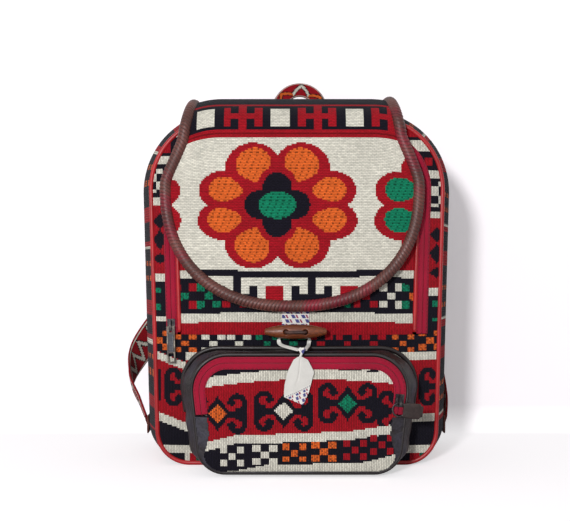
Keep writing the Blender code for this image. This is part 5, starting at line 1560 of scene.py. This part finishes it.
for edge in (-0.0126, -0.0002):
    seam = in_pocket_frame(RING_RADIUS + np.linspace(0.002, 0.013, 30), 0.0011, edge)
    stitches("tab_stitches_" + ("low" if edge < -0.006 else "high"), seam,
             pocket_out, dark_thread, body="pocket_pull")
print("ring", round(2000 * RING_RADIUS, 1), "mm across")


# %% [markdown]
# ## The closure
#
# A turned wooden toggle hangs on a leather lace that goes through two holes, in front of the end of a
# ribbon. A white tape tied to it holds a folded cloth label.
# The toggle could be a stretched ball with holes cut through it. A turned shape whose points are
# pushed in at the two holes has cleaner faces.

# %% Toggle
def wood():
    """Varnished wood: long grain, a few dark streaks and a soft gloss."""
    g = Graph("toggle_wood", Coat_Weight=0.12, Coat_Roughness=0.3, Specular_IOR_Level=0.35)
    shade, _, _ = g.effect(unevenness, Wide=60.0, Fine=900.0, Depth=0.22)
    x, y, z = g.node("ShaderNodeSeparateXYZ", {0: g.place()}).outputs
    long = g.node("ShaderNodeCombineXYZ", {0: g.math("MULTIPLY", x, 0.12), 1: y, 2: z}).outputs[0]
    grain = g.noise(long, 1300.0, 5.0)
    pale, dark = tuple(srgb(118, 60, 31)) + (1.0,), tuple(srgb(76, 36, 19)) + (1.0,)
    base = g.mix(g.range(grain, 0.35, 0.65, 0, 1), pale, dark)
    return g.use(Base_Color=g.shaded(base, shade), Roughness=g.range(grain, 0.3, 0.7, 0.34, 0.48),
                 Normal=g.bump(grain, 0.0003, 0.6))


toggle_spot = np.array((-0.0015, -0.090563, 0.137))
HOLE_APART = 0.0095
share = np.linspace(-1, 1, 161)
toggle_radius = 0.0026 + 0.0046 * (1 - np.abs(share) ** 2.2)
toggle_radius *= np.sqrt(np.clip((1 - np.abs(share)) / 0.035, 0.002, 1))
toggle_path = toggle_spot + np.outer(share * 0.031, (1.0, 0.0, 0.0))
toggle_sides = 72
toggle_ring = tube_rows(toggle_path, toggle_radius, toggle_sides)
for side in (-HOLE_APART, HOLE_APART):
    away = toggle_ring - (toggle_spot + (side, 0, 0))
    near = np.exp(-(np.hypot(away[..., 0], away[..., 2]) / 0.0024) ** 6)
    toggle_ring[..., 1] -= np.sign(away[..., 1]) * near * 0.0045
rows_piece("wooden_toggle", toggle_ring, wood(), body="toggle_body", stands_for=["toggle"])

# %% [markdown]
# The lace comes through one hole, lies along the toggle's front and goes back through the other. A
# tube along a smooth route makes it in one piece, with its ends in the bag's front.

# %% Toggle's lace
lace_leather = leather("lace_leather", srgb(52, 30, 26), srgb(84, 54, 46), 700.0, 0.45, 0.6)
lace_back, lace_front = 0.0103, -0.0091
lace_points = [(-HOLE_APART, lace_back), (-HOLE_APART, 0.002), (-HOLE_APART, lace_front + 0.0024),
               (-HOLE_APART + 0.0007, lace_front + 0.0007), (-HOLE_APART + 0.0024, lace_front),
               (0, lace_front), (HOLE_APART - 0.0024, lace_front), (HOLE_APART - 0.0007, lace_front + 0.0007),
               (HOLE_APART, lace_front + 0.0024), (HOLE_APART, 0.002), (HOLE_APART, lace_back)]
lace_path = even(smooth_route([toggle_spot + (x, y, 0) for x, y in lace_points], 8), 0.0005)
tube("leather_lace", lace_path, 0.0016, lace_leather, sides=14, out=(0, 0, 1), body="toggle_body",
     stands_for=["toggle_lace"])


# %% [markdown]
# The ribbon, the tape and the label are white cotton with a woven border. The border is a plain
# pattern of blocks and dashes.
# It could be a texture, but coloured stitches keep to the same way of making cloth as the bag.

# %% Ribbon
def cotton():
    """Soft white cotton tape in a fine weave, coloured by its own threads."""
    g = Graph("cotton", Sheen_Weight=0.15, Sheen_Roughness=0.5, Specular_IOR_Level=0.2)
    relief, tone = g.effect(weave, Cloth=g.cloth(), Tall=1.0)
    shade, _, _ = g.effect(unevenness, Wide=120.0, Fine=2800.0, Depth=0.08)
    # Painted shade: the colour is darker where the weave's relief is low, between the threads.
    shade = g.math("MULTIPLY", shade, g.range(relief, 0, 0.8, 0.82, 1.0))
    return g.use(Base_Color=g.shaded(g.thread(), shade), Roughness=g.range(tone, 0, 1, 0.75, 0.9),
                 Normal=g.bump(relief, 0.00015))


cotton_tape = cotton()
BORDER_BLUE = srgb(70, 72, 128)
BORDER_PLUM = srgb(142, 48, 84)


def paint_border(x, z):
    """Slanting blocks of blue and plum in two rows on white."""
    colours = plain(x, WHITE)
    row = np.floor(z / 0.0045)
    place = (x + 0.5 * (z % 0.0045) + 0.004 * (row % 2)) % 0.0100
    colours[(place < 0.0034)] = BORDER_BLUE
    colours[(place > 0.0044) & (place < 0.0062)] = BORDER_PLUM
    colours[(z % 0.0045 < 0.0010)] = WHITE
    return colours


def keep_all(x, z):
    return np.ones(len(x), bool)


ribbon = woven("ribbon_tape", (-0.0150, 0.0118), (0.1325, 0.1855), 0.0005, keep_all,
               lambda x, z: body_front(x, z, 0.0009 + 0.0003 * np.sin(x / 0.0026)), paint_border, cotton_tape,
               stands_for=["ribbon_loop"])


# %% [markdown]
# A flat cotton tape goes behind the toggle, and its ends meet in a knot. A cloth simulation could tie
# it, but would not repeat. A trefoil is the simplest closed line that crosses itself as a knot does,
# and the tape narrows where the toggle presses on it.

# %% Tape and knot
knot_spot = np.array((0.004, -0.1208, 0.1216))
behind_toggle = [(-0.0165, 0.1238, 0.0042), (-0.0155, 0.1312, 0.0022), (-0.0015, 0.1316, 0.0022),
                 (0.0105, 0.1312, 0.0022), (0.0115, 0.1238, 0.0042)]
tape_points = [knot_spot + (-0.0029, 0.0029, 0.0)] + [body_front(*spot) for spot in behind_toggle]
tape_points.append(knot_spot + (0.0029, 0.0029, 0.0))
tape_path = resample(smooth_route(np.array(tape_points), 12), 90)
tape_narrow = 1 - 0.66 * ease((tape_path[:, 2] - 0.1275) / 0.003)
tape_rows = band_rows(tape_path, (0.0, -0.8, 0.6), 0.0042, 0.0008, 16, tape_narrow)
tape = rows_piece("tie_tape", tape_rows, cotton_tape, paint=lambda a, r, c: plain(r, WHITE), stitch=0.0005,
                  stands_for=["tag_string"])
turn = np.linspace(0, 2 * math.pi, 120, endpoint=False)
trefoil = np.stack([np.sin(turn) + 2 * np.sin(2 * turn), np.sin(3 * turn) * 0.9,
                    np.cos(turn) - 2 * np.cos(2 * turn)], axis=1)
knot = tube("tied_knot", knot_spot + trefoil * 0.00085, 0.0011, cotton_tape, sides=10, closed=True,
            paint=lambda a, r, c: np.where((np.floor(r / 0.004) % 3 == 0)[:, None], BORDER_BLUE, WHITE),
            stands_for=["string_knot"])
tie_path = np.linspace(knot_spot + (0, 0, -0.0022), (0.0022, -0.1246, 0.1150), 16)
tie = tube("label_tie", tie_path, 0.0012, cotton_tape, sides=10, paint=lambda a, r, c: plain(r, WHITE),
           stands_for=["tag_tie"])


# %% [markdown]
# The label is a soft piece of cotton with its lower end folded up, which shows the border on its other
# side. It could be two layers. One sheet with a raised step along the slanting fold looks the same.

# %% Label
def fold_height(x):
    """The slanting line along which the label's end is folded up."""
    return 0.0780 + (x + 0.0130) * 0.47


label_heights = [0.0704, 0.0780, 0.0827, 0.0893, 0.0903, 0.1007, 0.1026, 0.1130, 0.1160]
label_left = [0.0050, -0.0130, -0.0130, -0.0125, -0.0122, -0.0098, -0.0092, -0.0040, 0.0002]
label_right = [0.0050, 0.0085, 0.0107, 0.0123, 0.0126, 0.0154, 0.0150, 0.0097, 0.0042]
z = np.linspace(0.0704, 0.1160, 100)
left = np.interp(z, label_heights, label_left)
right = np.interp(z, label_heights, label_right)
share = np.linspace(0, 1, 70)
x = left[:, None] * (1 - share) + right[:, None] * share
crease = np.exp(-((share[None, :] - 0.45) / 0.035) ** 2) * ease((z[:, None] - 0.084) / 0.012)
deep = 0.1246 + 0.0010 * np.sin(np.pi * share)[None, :] * ease((z[:, None] - 0.072) / 0.02) - 0.0007 * crease
lip = z[:, None] - fold_height(x)
deep = deep + 0.0006 * (lip < 0)
label_grid = points_of(x, -deep, z[:, None] + 0 * x)
print("label grid", label_grid.shape)


def paint_label():
    """White above the fold, and below it the woven border that shows the cloth's other side."""
    middle_x = (x[:-1, :-1] + x[1:, 1:]) / 2
    middle_z = (z[:-1, None] + z[1:, None]) / 2 + 0 * middle_x
    below = fold_height(middle_x) - middle_z
    flat = paint_border((middle_x + middle_z).ravel(), below.ravel())
    colours = np.tile(WHITE * 0.86, (flat.shape[0], 1))
    colours[below.ravel() > 0.0022] = flat[below.ravel() > 0.0022]
    dashes = (below.ravel() > 0.0006) & (below.ravel() < 0.0014) & (middle_x.ravel() % 0.0018 < 0.0008)
    colours[dashes] = BORDER_BLUE * 0.6
    return colours


label_faces = grid_faces(*label_grid.shape[:2])
label_flat = (label_grid[..., [0, 2]] / 0.0005).reshape(-1, 2)[label_faces]
label = piece("folded_label", label_grid, label_faces, cotton_tape, cloth=label_flat, colours=paint_label(),
              stands_for=["hang_tag"])


# %% [markdown]


# %% [markdown]
# ## Stage and finish
#
# The bag stands on pale paper that turns up behind it, as in a studio. A flat plane and a white world
# would do for the floor, but the bend also catches the bag's shadow on the wall.

# %% Stage
def add_sweep():
    """A pale floor that turns up into a wall just behind the bag, so that both keep its shadow.

    The wall is there only for the camera and only from its front, so that light reaches the bag from
    behind and the other views look past it.
    """
    foot, reach = 0.098, 0.030
    angles = np.linspace(0, math.pi / 2, 13)
    bend = [(foot + reach * math.sin(a), reach - reach * math.cos(a)) for a in angles]
    profile = [(-4.0, 0.0), (-0.2, 0.0)] + bend + [(foot + reach, 4.0)]
    points = [(x, y, z) for y, z in profile for x in (-5.0, 5.0)]
    faces = [(2 * k, 2 * k + 1, 2 * k + 3, 2 * k + 2) for k in range(len(profile) - 1)]
    start, far = 2 * profile.index(bend[0]), len(points)
    points += [(x, 4.0, 0.0) for x in (-5.0, 5.0)]
    faces.append((start, start + 1, far + 1, far))
    mesh = bpy.data.meshes.new("sweep")
    mesh.from_pydata(points, [], faces)
    mesh.polygons.foreach_set("use_smooth", [True] * len(faces))
    mesh.polygons[-1].use_smooth = False
    floor = bpy.data.objects.new("sweep", mesh)
    bpy.context.scene.collection.objects.link(floor)
    g = Graph("sweep", Specular_IOR_Level=0.0, Roughness=0.95, Emission_Color=(1, 1, 1, 1))
    g.use(Base_Color=(0.80, 0.765, 0.795, 1.0))
    seen = g.node("ShaderNodeLightPath").outputs["Is Camera Ray"]
    back = g.node("ShaderNodeNewGeometry").outputs["Backfacing"]
    height = g.node("ShaderNodeSeparateXYZ", {0: g.place()}).outputs[2]
    glow = g.range(height, 0.0, 0.03, 0.50, 0.22)
    g.feed(g.math("MULTIPLY", seen, glow), g.shader.inputs["Emission Strength"])
    low = g.math("LESS_THAN", height, 0.0005)
    shown = g.math("MAXIMUM", low, g.math("MULTIPLY", seen, g.math("SUBTRACT", 1.0, back)))
    through = g.node("ShaderNodeBsdfTransparent")
    mixed = g.node("ShaderNodeMixShader", {0: shown, 1: through.outputs[0], 2: g.shader.outputs[0]})
    g.tree.links.new(mixed.outputs[0], g.tree.nodes["Material Output"].inputs["Surface"])
    mesh.materials.append(g.material)


def add_world():
    """White where the camera and reflections look, a little dimmer as the light that fills the shadows."""
    world = bpy.data.worlds.new("world")
    bpy.context.scene.world = world
    world.use_nodes = True
    tree = world.node_tree
    path = tree.nodes.new("ShaderNodeLightPath")
    seen = tree.nodes.new("ShaderNodeMath")
    seen.operation = "MAXIMUM"
    tree.links.new(path.outputs["Is Camera Ray"], seen.inputs[0])
    tree.links.new(path.outputs["Is Glossy Ray"], seen.inputs[1])
    strength = tree.nodes.new("ShaderNodeMapRange")
    strength.inputs[3].default_value = 0.42
    strength.inputs[4].default_value = 1.0
    tree.links.new(seen.outputs[0], strength.inputs[0])
    tree.links.new(strength.outputs[0], tree.nodes["Background"].inputs["Strength"])
    tree.nodes["Background"].inputs["Color"].default_value = (1, 1, 1, 1)


def add_lamp(name, spot, aim, size, watts):
    lamp = bpy.data.objects.new(name, bpy.data.lights.new(name, "AREA"))
    bpy.context.scene.collection.objects.link(lamp)
    lamp.data.shape = "DISK"
    lamp.data.size = size
    lamp.data.energy = watts
    lamp.location = spot
    lamp.rotation_euler = (Vector(aim) - Vector(spot)).to_track_quat("-Z", "Y").to_euler()


add_sweep()
add_world()
add_lamp("key", spot=(-0.66, -2.2, 0.72), aim=(0, 0, 0.2), size=0.26, watts=44.0)
bpy.context.scene.view_settings.view_transform = "Standard"
